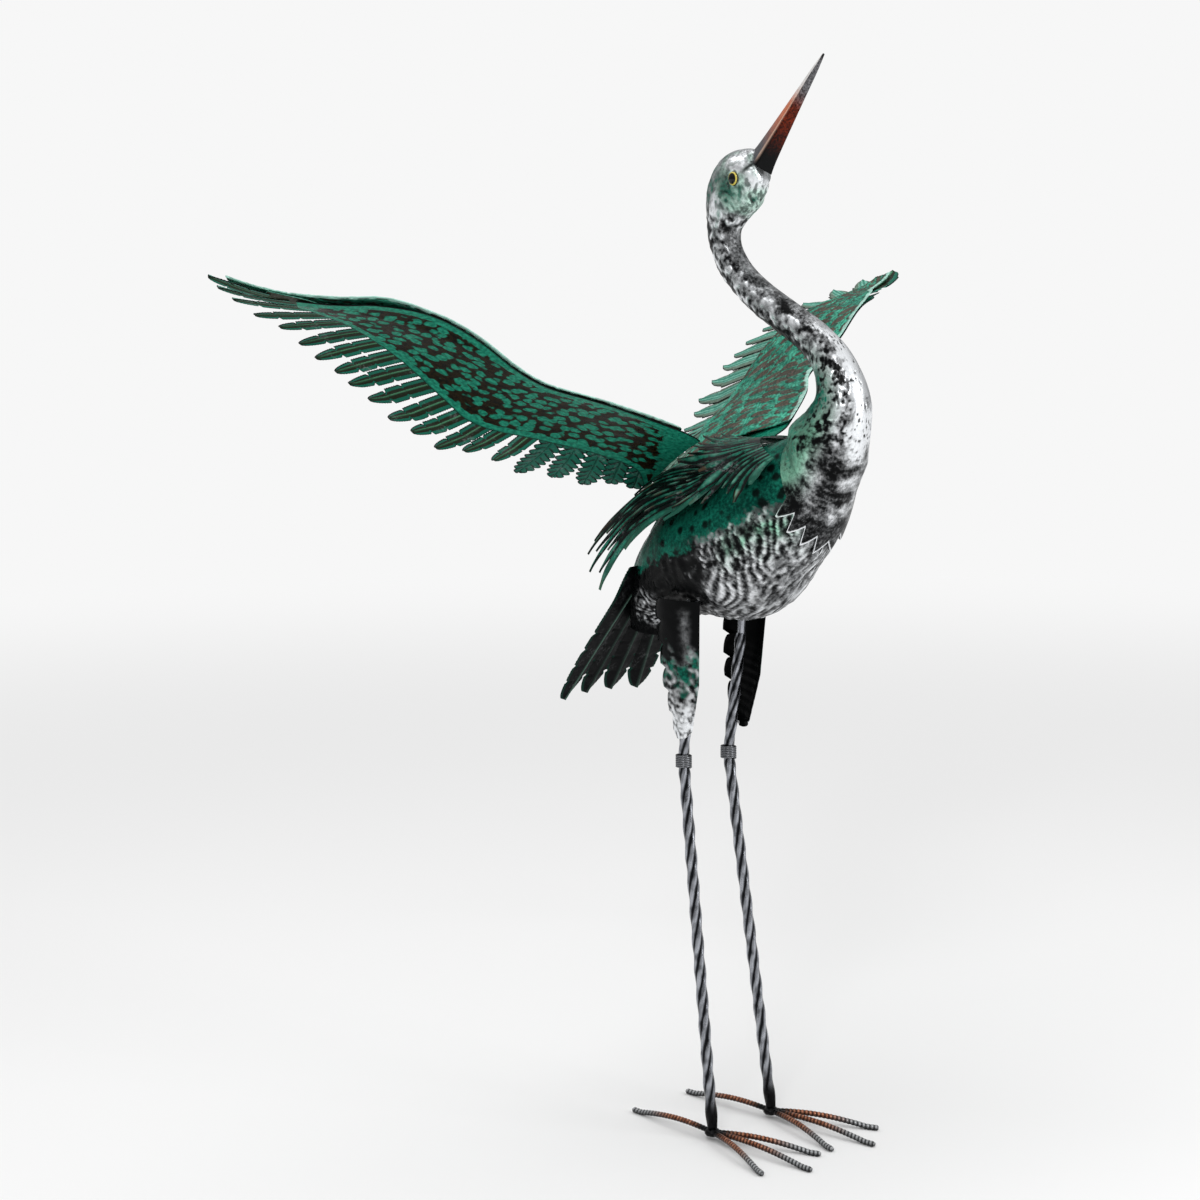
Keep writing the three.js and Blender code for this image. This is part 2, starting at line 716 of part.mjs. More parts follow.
const body = bodySolid(0)
const bodyWithGap = bodySolid(gap)
const neck = neckAndHead(bodyWithGap)
  .subtract(beak(2 * gap))
  .subtract(eye(1, gap))
  .subtract(eye(-1, gap))
addPiece('body', body, steel, 0.45, 0.8)
addPiece('neck_and_head', neck, 0xb4b6b8, 0.4, 0.8)
addPiece('beak', beak(0), 0x6d2a1c, 0.4, 0.5)
for (let row = 0; row < mantleRows; row++) addPiece(`mantle_${row + 1}`, mantleRow(row), teal, 0.45, 0.6)
addPiece('ruff', ruff(neck), teal, 0.45, 0.6)
addPiece('tail', tail(bodyWithGap), dark, 0.5, 0.5)
for (const [name, side] of sides) {
  const mirror = (solid) => (side > 0 ? mirrored(solid) : solid)
  addPiece(`${name}_eye`, eye(side, 0), 0x111111, 0.1, 0)
  addPiece(`${name}_wing_lining`, mirror(wingLining()), teal, 0.45, 0.6)
  addPiece(`${name}_flight_feathers`, mirror(flightFeathers()), dark, 0.45, 0.6)
  addPiece(`${name}_coverts`, mirror(coverts()), teal, 0.45, 0.6)
  addPiece(`${name}_thigh`, thigh(side, bodyWithGap), dark, 0.45, 0.6)
  addPiece(`${name}_upper_leg`, upperLeg(side, bodyWithGap), steel, 0.4, 0.8)
  addPiece(`${name}_knee_wrap`, kneeWrap(side), dark, 0.5, 0.7)
  addPiece(`${name}_lower_leg`, lowerLeg(side), steel, 0.4, 0.8)
  addPiece(`${name}_foot`, foot(side), 0x6b4a38, 0.5, 0.7)
}

export default group
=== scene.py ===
import math
import random
import bmesh
import bpy
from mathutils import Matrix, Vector, noise


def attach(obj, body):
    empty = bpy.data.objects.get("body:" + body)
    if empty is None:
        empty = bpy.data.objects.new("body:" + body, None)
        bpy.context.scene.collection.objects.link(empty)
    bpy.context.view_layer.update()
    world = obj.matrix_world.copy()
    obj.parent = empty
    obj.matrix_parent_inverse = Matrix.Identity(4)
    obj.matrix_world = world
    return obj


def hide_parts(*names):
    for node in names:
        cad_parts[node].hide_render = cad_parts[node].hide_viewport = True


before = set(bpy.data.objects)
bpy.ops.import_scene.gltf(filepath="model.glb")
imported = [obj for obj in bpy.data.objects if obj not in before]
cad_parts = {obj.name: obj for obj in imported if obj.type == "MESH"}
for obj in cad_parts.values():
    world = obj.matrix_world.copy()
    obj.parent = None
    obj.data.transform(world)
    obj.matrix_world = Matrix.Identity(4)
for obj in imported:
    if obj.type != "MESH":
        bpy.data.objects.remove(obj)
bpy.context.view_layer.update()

# All shape sizes below are millimetres from the ground between the feet, x towards the beak
shiftX = 58.8     # moves the bird to the middle of the part's box
sheetThickness = 0.9
stripThickness = 0.8


def lerp(a, b, t):
    return a + (b - a) * t


def clamp(value, low=0.0, high=1.0):
    return max(low, min(high, value))


def smoothStep(low, high, value):
    t = clamp((value - low) / (high - low))
    return t * t * (3 - 2 * t)


def bell(value, centre, width):
    return math.exp(-(((value - centre) / width) ** 2))


def wave(value):
    return 0.5 + 0.5 * math.cos(2 * math.pi * value)


# Noise read on a turned grid, so that no straight rows show
def rough(x, y, z=0.0):
    turned = (0.83 * x - 0.56 * y + 0.37, 0.53 * x + 0.79 * y + 0.3 * z, 0.93 * z - 0.17 * x + 0.43)
    return noise.noise(Vector(turned))


# A smooth curve through a few points, read by its length from 0 to 1
def makeCurve(points, samples=240):
    last = len(points) - 1
    path = []
    for number in range(samples + 1):
        place = number / samples * last
        step = min(int(place), last - 1)
        t = place - step
        p0 = points[max(step - 1, 0)]
        p1, p2 = points[step], points[step + 1]
        p3 = points[min(step + 2, last)]
        spot = []
        for axis in range(2):
            v0, v1 = (p2[axis] - p0[axis]) / 2, (p3[axis] - p1[axis]) / 2
            a = 2 * p1[axis] - 2 * p2[axis] + v0 + v1
            b = -3 * p1[axis] + 3 * p2[axis] - 2 * v0 - v1
            spot.append(((a * t + b) * t + v0) * t + p1[axis])
        path.append(spot)
    lengths = [0.0]
    for a, b in zip(path, path[1:]):
        lengths.append(lengths[-1] + math.dist(a, b))
    return path, lengths


def curvePoint(curve, place):
    path, lengths = curve
    target = clamp(place) * lengths[-1]
    low, high = 0, len(lengths) - 1
    while high - low > 1:
        middle = (low + high) // 2
        if lengths[middle] <= target:
            low = middle
        else:
            high = middle
    t = (target - lengths[low]) / max(lengths[high] - lengths[low], 1e-9)
    return lerp(path[low][0], path[high][0], t), lerp(path[low][1], path[high][1], t)


# The value at a place from 0 to 1 along a list of ring sizes
def sizeAlong(sizes, place):
    last = len(sizes) - 1
    step = max(min(int(math.floor(place * last)), last - 1), 0)
    t = place * last - step
    before, start = sizes[max(step - 1, 0)], sizes[step]
    end, after = sizes[step + 1], sizes[min(step + 2, last)]
    bend = t * t * (3 - 2 * t)
    lean = t * (1 - t) * ((1 - t) * (end - before) / 2 - t * (after - start) / 2)
    return start + (end - start) * bend + lean


def middleLine(rings, place):
    return Vector((sizeAlong(rings["x"], place), 0, sizeAlong(rings["z"], place)))


def directionAlong(rings, place):
    start = middleLine(rings, max(place - 0.01, 0))
    return (middleLine(rings, min(place + 0.01, 1)) - start).normalized()


# Meshes; each vertex also carries the numbers that the materials read
def newMesh():
    mesh = bmesh.new()
    mesh.loops.layers.uv.new("UVMap")
    for name in ("rim", "rib", "tone", "relief", "under"):
        mesh.verts.layers.float.new(name)
    return mesh


# A grid of columns by rows, each point put in place by a function of u and v from 0 to 1.
# The function gives the point in millimetres and a dictionary of what the material reads there.
def addGrid(mesh, columns, rows, place):
    made = bmesh.ops.create_grid(mesh, x_segments=columns, y_segments=rows, size=0.5, calc_uvs=True)
    uvLayer = mesh.loops.layers.uv.active
    spots = {}
    for vert in made["verts"]:
        u, v = vert.co.x + 0.5, vert.co.y + 0.5
        point, facts = place(u, v)
        vert.co = Vector((point[0] + shiftX, point[1], point[2])) * 0.001
        spots[vert] = facts.get("uv", (u, v))
        for name, value in facts.items():
            if name != "uv":
                vert[mesh.verts.layers.float[name]] = value
    for vert in made["verts"]:
        for loop in vert.link_loops:
            loop[uvLayer].uv = spots[vert]
    return made["verts"]


# A grid closed to a tube, with its seam and its poles merged
def addTube(mesh, columns, rows, place):
    verts = addGrid(mesh, columns, rows, place)
    bmesh.ops.remove_doubles(mesh, verts=verts, dist=0.00001)


# Gives an open sheet its thickness; the new side is marked as the under side
def thicken(mesh, thickness):
    bmesh.ops.recalc_face_normals(mesh, faces=mesh.faces[:])
    mesh.normal_update()
    under = mesh.verts.layers.float["under"]
    made = bmesh.ops.extrude_face_region(mesh, geom=mesh.faces[:], use_keep_orig=True)
    for item in made["geom"]:
        if isinstance(item, bmesh.types.BMVert):
            item.co -= item.normal * thickness * 0.001
            item[under] = 1.0


def finishPiece(mesh, name, material, slotName, nodes, sharpAngle=40.0):
    bmesh.ops.recalc_face_normals(mesh, faces=mesh.faces[:])
    limit = math.radians(sharpAngle)
    for face in mesh.faces:
        face.smooth = True
    for edge in mesh.edges:
        if len(edge.link_faces) == 2 and edge.calc_face_angle(0.0) > limit:
            edge.smooth = False
    data = bpy.data.meshes.new(name)
    mesh.to_mesh(data)
    mesh.free()
    data.materials.append(material)
    piece = bpy.data.objects.new(name, data)
    bpy.context.scene.collection.objects.link(piece)
    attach(piece, "root")
    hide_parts(*nodes)


# Mirrors a mesh to the bird's left side
def mirrorMesh(mesh):
    copy = mesh.copy()
    bmesh.ops.scale(copy, vec=(1, -1, 1), verts=copy.verts[:])
    bmesh.ops.reverse_faces(copy, faces=copy.faces[:])
    return copy


# Materials
class Shader:
    # a short way to add nodes and links to one node tree
    def __init__(self, tree):
        self.tree = tree

    def put(self, value, socket):
        if isinstance(value, bpy.types.NodeSocket):
            self.tree.links.new(value, socket)
        else:
            socket.default_value = value

    # Sockets are given by name, or by number as i0, i1 and so on
    def add(self, kind, settings=None, **inputs):
        node = self.tree.nodes.new(kind)
        for key, value in (settings or {}).items():
            setattr(node, key, value)
        for key, value in inputs.items():
            self.put(value, node.inputs[int(key[1:]) if key[1:].isdigit() else key])
        return node

    def math(self, operation, a, b, clampIt=False):
        settings = {"operation": operation, "use_clamp": clampIt}
        return self.add("ShaderNodeMath", settings, i0=a, i1=b).outputs[0]

    def plus(self, a, b):
        return self.math("ADD", a, b)

    def times(self, a, b, clampIt=False):
        return self.math("MULTIPLY", a, b, clampIt)

    # A noise turned into a push to both sides of 0
    def swing(self, value, amount):
        return self.times(self.math("SUBTRACT", value, 0.5), amount)

    def mix(self, factor, a, b):
        return self.add("ShaderNodeMix", {"data_type": "RGBA"}, i0=factor, i6=a, i7=b).outputs[2]

    def span(self, value, low, high, toLow=0.0, toHigh=1.0):
        node = self.add("ShaderNodeMapRange", {"interpolation_type": "SMOOTHSTEP"},
                        i0=value, i1=low, i2=high, i3=toLow, i4=toHigh)
        return node.outputs[0]

    def attribute(self, name):
        return self.add("ShaderNodeAttribute", {"attribute_name": name}).outputs["Fac"]

    def noise(self, where, scale, detail=3.0, roughness=0.55):
        return self.add("ShaderNodeTexNoise", None, Vector=where, Scale=scale, Detail=detail,
                        Roughness=roughness).outputs["Fac"]

    def place(self, kind="Object"):
        return self.add("ShaderNodeTexCoord").outputs[kind]

    def stretch(self, where, scale):
        return self.add("ShaderNodeMapping", None, Vector=where, Scale=scale).outputs[0]


# The linear colour that Blender reads, from red, green and blue up to 255
def colour(red, green, blue):
    return tuple((c / 255 / 12.92) if c <= 10 else ((c / 255 + 0.055) / 1.055) ** 2.4
                 for c in (red, green, blue)) + (1.0,)


def makeTones(colours):
    return {part: colour(*tone) for part, tone in colours.items()}


def newGroup(name, inputs, outputs):
    group = bpy.data.node_groups.new(name, "ShaderNodeTree")
    for label, kind, value in inputs:
        socket = group.interface.new_socket(label, in_out="INPUT", socket_type=kind)
        socket.default_value = value
    for label, kind in outputs:
        group.interface.new_socket(label, in_out="OUTPUT", socket_type=kind)
    shader = Shader(group)
    return group, shader, shader.add("NodeGroupInput").outputs, shader.add("NodeGroupOutput").inputs


wornLook = {"patches": 60.0, "specks": 420.0, "glossy": 0.2, "dull": 0.38}


# Rubbed paint: worn specks as a mask, a fine grain as a height, and a roughness that varies in patches
def makeWornPaint():
    group, s, given, made = newGroup(
        "wornPaint",
        [("Scale", "NodeSocketFloat", 1.0), ("Amount", "NodeSocketFloat", 0.5)],
        [("Mask", "NodeSocketFloat"), ("Height", "NodeSocketFloat"), ("Roughness", "NodeSocketFloat")])
    where = s.place()
    coarse = s.noise(where, s.times(given["Scale"], wornLook["patches"]), 4.0)
    fine = s.noise(where, s.times(given["Scale"], wornLook["specks"]), 3.0)
    speck = s.times(s.span(coarse, 0.5, 0.72), s.span(fine, 0.45, 0.62))
    s.put(s.times(speck, given["Amount"], True), made["Mask"])
    s.put(s.plus(coarse, s.times(fine, 0.4)), made["Height"])
    s.put(s.span(coarse, 0.3, 0.7, wornLook["glossy"], wornLook["dull"]), made["Roughness"])
    return group


wornPaint = makeWornPaint()
silver = colour(238, 241, 244)
black = colour(9, 10, 11)
bumpHeight = 0.0006     # metres


def newMaterial(name):
    material = bpy.data.materials.new(name)
    material.use_nodes = True
    return material, Shader(material.node_tree), material.node_tree.nodes["Principled BSDF"]


def addWear(shader, scale, amount):
    return shader.add("ShaderNodeGroup", {"node_tree": wornPaint}, Scale=scale, Amount=amount).outputs


def finishMaterial(shader, principled, base, roughness, metallic, height=None, strength=0.3, specular=0.5):
    shader.put(base, principled.inputs["Base Color"])
    shader.put(roughness, principled.inputs["Roughness"])
    shader.put(metallic, principled.inputs["Metallic"])
    shader.put(specular, principled.inputs["Specular IOR Level"])
    if height is not None:
        bump = shader.add("ShaderNodeBump", None, Height=height, Strength=strength, Distance=bumpHeight)
        shader.put(bump.outputs[0], principled.inputs["Normal"])


hammeredLook = {
    "tint": (150, 214, 184), "teal": (24, 112, 92), "deepTeal": (4, 54, 45),
    "grain": 330.0, "cells": 72.0, "clouds": 42.0, "darkening": 1.5, "shine": 0.9,
}


# Silver rubbed over black on hammered sheet, with green where the zone says so.
# The mesh gives relief for what is rubbed bright, and also for the painted highlights on the chest and on the
# thighs, rib for green paint, rim for a green tint, tone for black.
def makeHammered():
    material, s, principled = newMaterial("hammeredSteel")
    look = hammeredLook
    wearAndCrestHighlight = addWear(s, 1.0, 0.5)
    where = s.place()
    grain = s.noise(where, look["grain"], 4.0, 0.7)
    grainy = s.swing(grain, 0.8)
    lit = s.span(s.plus(s.attribute("relief"), grainy), 0.12, 0.95)
    bright = s.mix(s.attribute("rim"), silver, colour(*look["tint"]))
    bare = s.times(lit, s.math("SUBTRACT", 1.0, s.attribute("tone")), True)
    bare = s.math("POWER", bare, look["darkening"])
    metal = s.mix(bare, black, bright)
    cells = s.add("ShaderNodeTexVoronoi", {"feature": "SMOOTH_F1"}, Vector=where, Scale=look["cells"],
                  Smoothness=0.25, Randomness=1.0).outputs["Distance"]
    cloudy = s.swing(s.noise(where, look["clouds"], 4.0, 0.65), 2.4)
    shade = s.span(s.plus(grain, s.times(cloudy, 0.35)), 0.3, 0.75)
    green = s.mix(shade, colour(*look["deepTeal"]), colour(*look["teal"]))
    dots = s.span(s.plus(cells, s.times(cloudy, 0.16)), 0.42, 0.2, 0.0, 0.92)
    blotted = s.mix(dots, green, black)
    painted = s.span(s.plus(s.attribute("rib"), grainy), 0.2, 0.8)
    shine = s.times(s.math("SUBTRACT", 1.0, painted), s.times(bare, 1.5, True))
    finishMaterial(s, principled, s.mix(painted, metal, blotted), wearAndCrestHighlight["Roughness"],
                   s.times(shine, look["shine"]), wearAndCrestHighlight["Height"], 0.3, 0.04)
    return material


tailColours = {"centre": (3, 4, 5), "edge": (7, 46, 36), "rib": (84, 112, 100)}


# Tail feathers: nearly black, greener along the edges, with a pale rib
def makeTailPaint():
    material, s, principled = newMaterial("tailFeatherPaint")
    tones = makeTones(tailColours)
    wearAndCrestHighlight = addWear(s, 1.0, 0.05)
    grain = s.noise(s.place(), 240.0, 4.0, 0.65)
    rim = s.plus(s.attribute("rim"), s.swing(grain, 0.8))
    body = s.mix(s.span(rim, 0.2, 0.8), tones["centre"], tones["edge"])
    shaded = s.mix(s.attribute("tone"), body, black)
    base = s.mix(wearAndCrestHighlight["Mask"], s.mix(s.attribute("rib"), shaded, tones["rib"]), silver)
    finishMaterial(s, principled, base, s.span(grain, 0.3, 0.7, 0.4, 0.6), 0.0, wearAndCrestHighlight["Height"], 0.25, 0.06)
    return material


stripColours = {
    "shadedGap": (4, 12, 10), "darkGreen": (10, 84, 68), "green": (30, 128, 104), "brown": (72, 58, 42),
    "crestHighlight": (128, 196, 172), "under": (56, 142, 118),
}


# Strips of the mantle and ruff: painted shade in the dark gaps along their edges, a green crest painted
# lighter as a highlight with a pale painted highlight on its top, brown towards the tip
def makeStripPaint():
    material, s, principled = newMaterial("stripPaint")
    tones = makeTones(stripColours)
    wearAndCrestHighlight = addWear(s, 1.0, 0.12)
    grain = s.noise(s.place(), 200.0, 4.0, 0.65)
    drift = s.swing(grain, 0.9)
    crestHighlight = s.span(s.plus(s.attribute("rim"), drift), 0.25, 0.85)
    green = s.mix(s.span(grain, 0.35, 0.65), tones["darkGreen"], tones["green"])
    tinted = s.mix(s.span(s.plus(s.attribute("relief"), drift), 0.3, 0.8), green, tones["brown"])
    shaded = s.mix(s.attribute("tone"), s.mix(crestHighlight, tones["shadedGap"], tinted), black)
    crested = s.mix(s.attribute("rib"), shaded, tones["crestHighlight"])
    # the strips are painted on both sides, and the under side is mixed towards a paler green, which lifts the
    # shade that falls there as painted light
    bothSides = s.mix(s.times(s.attribute("under"), 0.3), crested, tones["under"])
    base = s.mix(wearAndCrestHighlight["Mask"], bothSides, silver)
    finishMaterial(s, principled, base, s.span(grain, 0.3, 0.7, 0.34, 0.5), 0.0, wearAndCrestHighlight["Height"], 0.25, 0.12)
    return material


flightColours = {
    "lowerCentre": (28, 34, 18), "lowerMargin": (14, 104, 84), "lowerRib": (96, 168, 128),
    "upperHollow": (62, 134, 116), "upper": (142, 206, 186), "upperMargin": (112, 94, 84),
}


# Flight feathers: dark with green margins below, pale green with grey-brown margins above
def makeFlightPaint():
    material, s, principled = newMaterial("flightFeatherPaint")
    tones = makeTones(flightColours)
    wearAndCrestHighlight = addWear(s, 1.0, 0.12)
    grain = s.noise(s.place(), 240.0, 4.0, 0.65)
    drift = s.swing(grain, 0.7)
    rim = s.attribute("rim")
    below = s.mix(s.span(s.plus(rim, drift), 0.3, 0.7), tones["lowerCentre"], tones["lowerMargin"])
    below = s.mix(s.attribute("rib"), below, tones["lowerRib"])
    crests = s.span(s.plus(s.attribute("relief"), drift), 0.3, 0.8)
    above = s.mix(crests, tones["upperHollow"], tones["upper"])
    above = s.mix(s.times(rim, 0.6), above, tones["upperMargin"])
    bothSides = s.mix(s.span(s.attribute("under"), 0.4, 0.6), above, below)
    base = s.mix(wearAndCrestHighlight["Mask"], s.mix(s.attribute("tone"), bothSides, black), silver)
    finishMaterial(s, principled, base, s.span(grain, 0.3, 0.7, 0.4, 0.6), 0.0, wearAndCrestHighlight["Height"], 0.25, 0.06)
    return material


covertColours = {
    "darkGreen": (38, 138, 114), "turquoise": (84, 196, 164), "streak": (96, 78, 68),
    "groove": (8, 62, 52), "edge": (176, 222, 208),
}


# The upper sheet of the wing: turquoise stamped feathers with brown streaks, pale along the front edge
def makeCovertPaint():
    material, s, principled = newMaterial("covertPaint")
    tones = makeTones(covertColours)
    wearAndCrestHighlight = addWear(s, 1.0, 0.1)
    where = s.place()
    grain = s.noise(where, 240.0, 4.0, 0.65)
    drift = s.swing(grain, 0.9)
    ground = s.mix(s.span(s.noise(where, 70.0, 3.0), 0.35, 0.65), tones["darkGreen"], tones["turquoise"])
    streaked = s.mix(s.span(s.plus(s.attribute("rim"), drift), 0.25, 0.75), ground, tones["streak"])
    grooved = s.mix(s.attribute("rib"), streaked, tones["groove"])
    shaded = s.mix(s.attribute("tone"), grooved, black)
    base = s.mix(wearAndCrestHighlight["Mask"], s.mix(s.attribute("relief"), shaded, tones["edge"]), silver)
    finishMaterial(s, principled, base, s.span(grain, 0.3, 0.7, 0.4, 0.6), 0.0, wearAndCrestHighlight["Height"], 0.25, 0.06)
    return material


liningLook = {
    "spots": 44.0, "spotStretch": (0.86, 1.05, 1), "randomness": 0.78, "bend": 0.018,
    "green": (12, 100, 80), "lightGreen": (38, 142, 114), "dark": (7, 8, 4), "brown": (30, 23, 7),
}


# The lower sheet of the wing: green oval spots over brown, inside a green border, with a black line of
# painted shade along its front and rear edges where the other sheets meet it
def makeLiningPaint():
    material, s, principled = newMaterial("spottedLining")
    look = liningLook
    wearAndCrestHighlight = addWear(s, 1.0, 0.1)
    where = s.place("UV")
    drift = s.noise(where, 34.0, 2.0)
    waves = s.add("ShaderNodeTexNoise", None, Vector=where, Scale=40.0).outputs["Color"]
    bent = s.stretch(s.mix(look["bend"], where, waves), look["spotStretch"])
    cells = s.add("ShaderNodeTexVoronoi", {"feature": "F1"}, Vector=bent, Scale=look["spots"],
                  Randomness=look["randomness"]).outputs["Distance"]
    spots = s.span(s.plus(cells, s.swing(drift, -0.4)), 0.36, 0.5, 1.0, 0.0)
    joined = s.math("MAXIMUM", spots, s.span(drift, 0.66, 0.72))
    border = s.span(s.plus(s.attribute("rim"), s.swing(drift, 0.9)), 0.45, 0.6)
    mask = s.math("MAXIMUM", joined, border)
    tint = s.span(s.noise(where, 120.0, 3.0), 0.35, 0.7)
    green = s.mix(tint, colour(*look["green"]), colour(*look["lightGreen"]))
    rust = s.span(s.noise(where, 90.0, 3.0), 0.35, 0.6)
    ground = s.mix(rust, colour(*look["dark"]), colour(*look["brown"]))
    base = s.mix(s.attribute("rib"), s.mix(mask, ground, green), black)
    finishMaterial(s, principled, base, wearAndCrestHighlight["Roughness"], 0.0, s.plus(s.times(mask, 0.6), wearAndCrestHighlight["Height"]),
                   0.3, 0.02)
    return material


# Twisted bar: relief is bright on the flats and dark in the hollows between the corners
def makeBarSteel():
    material, s, principled = newMaterial("twistedBarSteel")
    wearAndCrestHighlight = addWear(s, 1.4, 0.3)
    grain = s.noise(s.stretch(s.place(), (1, 1, 0.25)), 300.0, 3.0)
    lit = s.span(s.plus(s.attribute("relief"), s.swing(grain, 0.7)), 0.25, 1.05)
    metal = s.mix(lit, colour(14, 16, 20), colour(170, 173, 180))
    base = s.mix(s.attribute("tone"), metal, black)
    finishMaterial(s, principled, base, wearAndCrestHighlight["Roughness"], 0.85, wearAndCrestHighlight["Height"], 0.2)
    return material


toeColours = {
    "copperShaded": (44, 24, 16), "copper": (140, 78, 52), "brightCopper": (214, 150, 118),
    "steelShaded": (24, 25, 26), "steel": (190, 192, 194),
}


# Toe rods: black at the weld, coppery in the middle, bare at the tips; tone runs from the weld to the tip,
# and relief is a painted highlight on the tops of the ribs, with painted shade in the grooves and on the
# under side
def makeToeSteel():
    material, s, principled = newMaterial("toeRodSteel")
    tones = makeTones(toeColours)
    wearAndCrestHighlight = addWear(s, 1.4, 0.3)
    grain = s.noise(s.place(), 300.0, 3.0)
    along, relief = s.attribute("tone"), s.attribute("relief")
    crestHighlight = s.mix(s.span(grain, 0.3, 0.7), tones["copper"], tones["brightCopper"])
    copper = s.mix(relief, tones["copperShaded"], crestHighlight)
    middle = s.times(s.span(along, 0.1, 0.3), s.span(along, 0.55, 0.85, 1.0, 0.0))
    steel = s.mix(relief, tones["steelShaded"], tones["steel"])
    base = s.mix(s.times(s.span(along, 0.5, 0.85), 0.9), s.mix(middle, black, copper), steel)
    finishMaterial(s, principled, base, wearAndCrestHighlight["Roughness"], 0.5, wearAndCrestHighlight["Height"], 0.2, 0.25)
    return material


def makeWire():
    material, s, principled = newMaterial("wrapWire")
    wearAndCrestHighlight = addWear(s, 1.4, 0.3)
    base = s.mix(s.attribute("relief"), colour(20, 20, 22), colour(128, 130, 134))
    finishMaterial(s, principled, base, wearAndCrestHighlight["Roughness"], 0.8, wearAndCrestHighlight["Height"], 0.2)
    return material


beakColours = {
    "litUpperRoot": (84, 84, 88), "darkRed": (40, 10, 4), "red": (128, 44, 18), "litUpperRed": (196, 112, 78),
    "darkTip": (54, 53, 56), "tip": (128, 127, 130), "litUpperTip": (222, 219, 217), "ridge": (226, 190, 168),
}


# Beak: tone runs from the root to the tip, relief picks out the upper faces, which are painted lighter as a
# highlight, and rib the ridge between them
def makeBeakPaint():
    material, s, principled = newMaterial("beakPaint")
    tones = makeTones(beakColours)
    wearAndCrestHighlight = addWear(s, 1.4, 0.3)
    grain = s.noise(s.place(), 480.0, 4.0)
    along = s.plus(s.attribute("tone"), s.swing(grain, 0.12))
    upper, mottle = s.attribute("relief"), s.span(grain, 0.3, 0.7)
    root = s.mix(upper, black, tones["litUpperRoot"])
    red = s.mix(upper, s.mix(mottle, tones["darkRed"], tones["red"]), tones["litUpperRed"])
    tip = s.mix(upper, s.mix(mottle, tones["darkTip"], tones["tip"]), tones["litUpperTip"])
    base = s.mix(s.span(along, 0.1, 0.5), root, red)
    base = s.mix(s.span(along, 0.52, 0.72), base, tip)
    base = s.mix(s.attribute("rib"), base, tones["ridge"])
    base = s.mix(s.span(along, 0.95, 0.98), base, black)
    finishMaterial(s, principled, base, wearAndCrestHighlight["Roughness"], 0.0, wearAndCrestHighlight["Height"], 0.2, 0.12)
    return material


# Eye: rim is the distance from the middle of the bead, with a yellow ring round the pupil
def makeEyePaint():
    material, s, principled = newMaterial("eyeEnamel")
    away = s.attribute("rim")
    ring = s.mix(s.span(away, 0.72, 0.77), black, colour(206, 190, 84))
    base = s.mix(s.span(away, 0.9, 0.95), ring, black)
    finishMaterial(s, principled, base, 0.12, 0.0, specular=0.3)
    principled.inputs["Coat Weight"].default_value = 0.1
    return material


hammered = makeHammered()
stripPaint = makeStripPaint()
flightPaint = makeFlightPaint()
covertPaint = makeCovertPaint()
tailPaint = makeTailPaint()
liningPaint = makeLiningPaint()
barSteel = makeBarSteel()
toeSteel = makeToeSteel()
wireSteel = makeWire()
beakPaint = makeBeakPaint()
eyePaint = makeEyePaint()
print("materials ready")

# Body: pressed shell from the breast to the cut rear end
bodyRings = {
    "x": [130, 115, 77, 45, 8, -45, -95, -120, -128],
    "z": [704, 690, 656, 631, 610, 592, 560, 530, 502],
    "up": [2, 32, 57, 61, 58, 56, 42, 28, 19],
    "down": [2, 30, 55, 68, 84, 76, 50, 30, 19],
    "wide": [2, 30, 54, 63, 67, 61, 44, 29, 22],
}
bodyLook = {
    "columns": 280, "rows": 212, "hammerDepth": 2.3, "ripple": 11.5, "rippleLean": 0.7,
    "greenLevel": 602, "frontSlope": 0.43, "rearSlope": 0.34,     # lower border of the green, from x = 0
    "crease": (20, 556), "rearPatch": (-99, 527, 24),
}


def bodyPoint(turn, place, offset):
    centre = middleLine(bodyRings, place)
    direction = directionAlong(bodyRings, place)
    up = Vector((direction.z, 0, -direction.x))
    rise = math.cos(turn)
    deep = sizeAlong(bodyRings["up" if rise > 0 else "down"], place) + offset
    wide = sizeAlong(bodyRings["wide"], place) + offset
    centre += up * (rise * deep)
    centre.y += math.sin(turn) * wide
    return centre


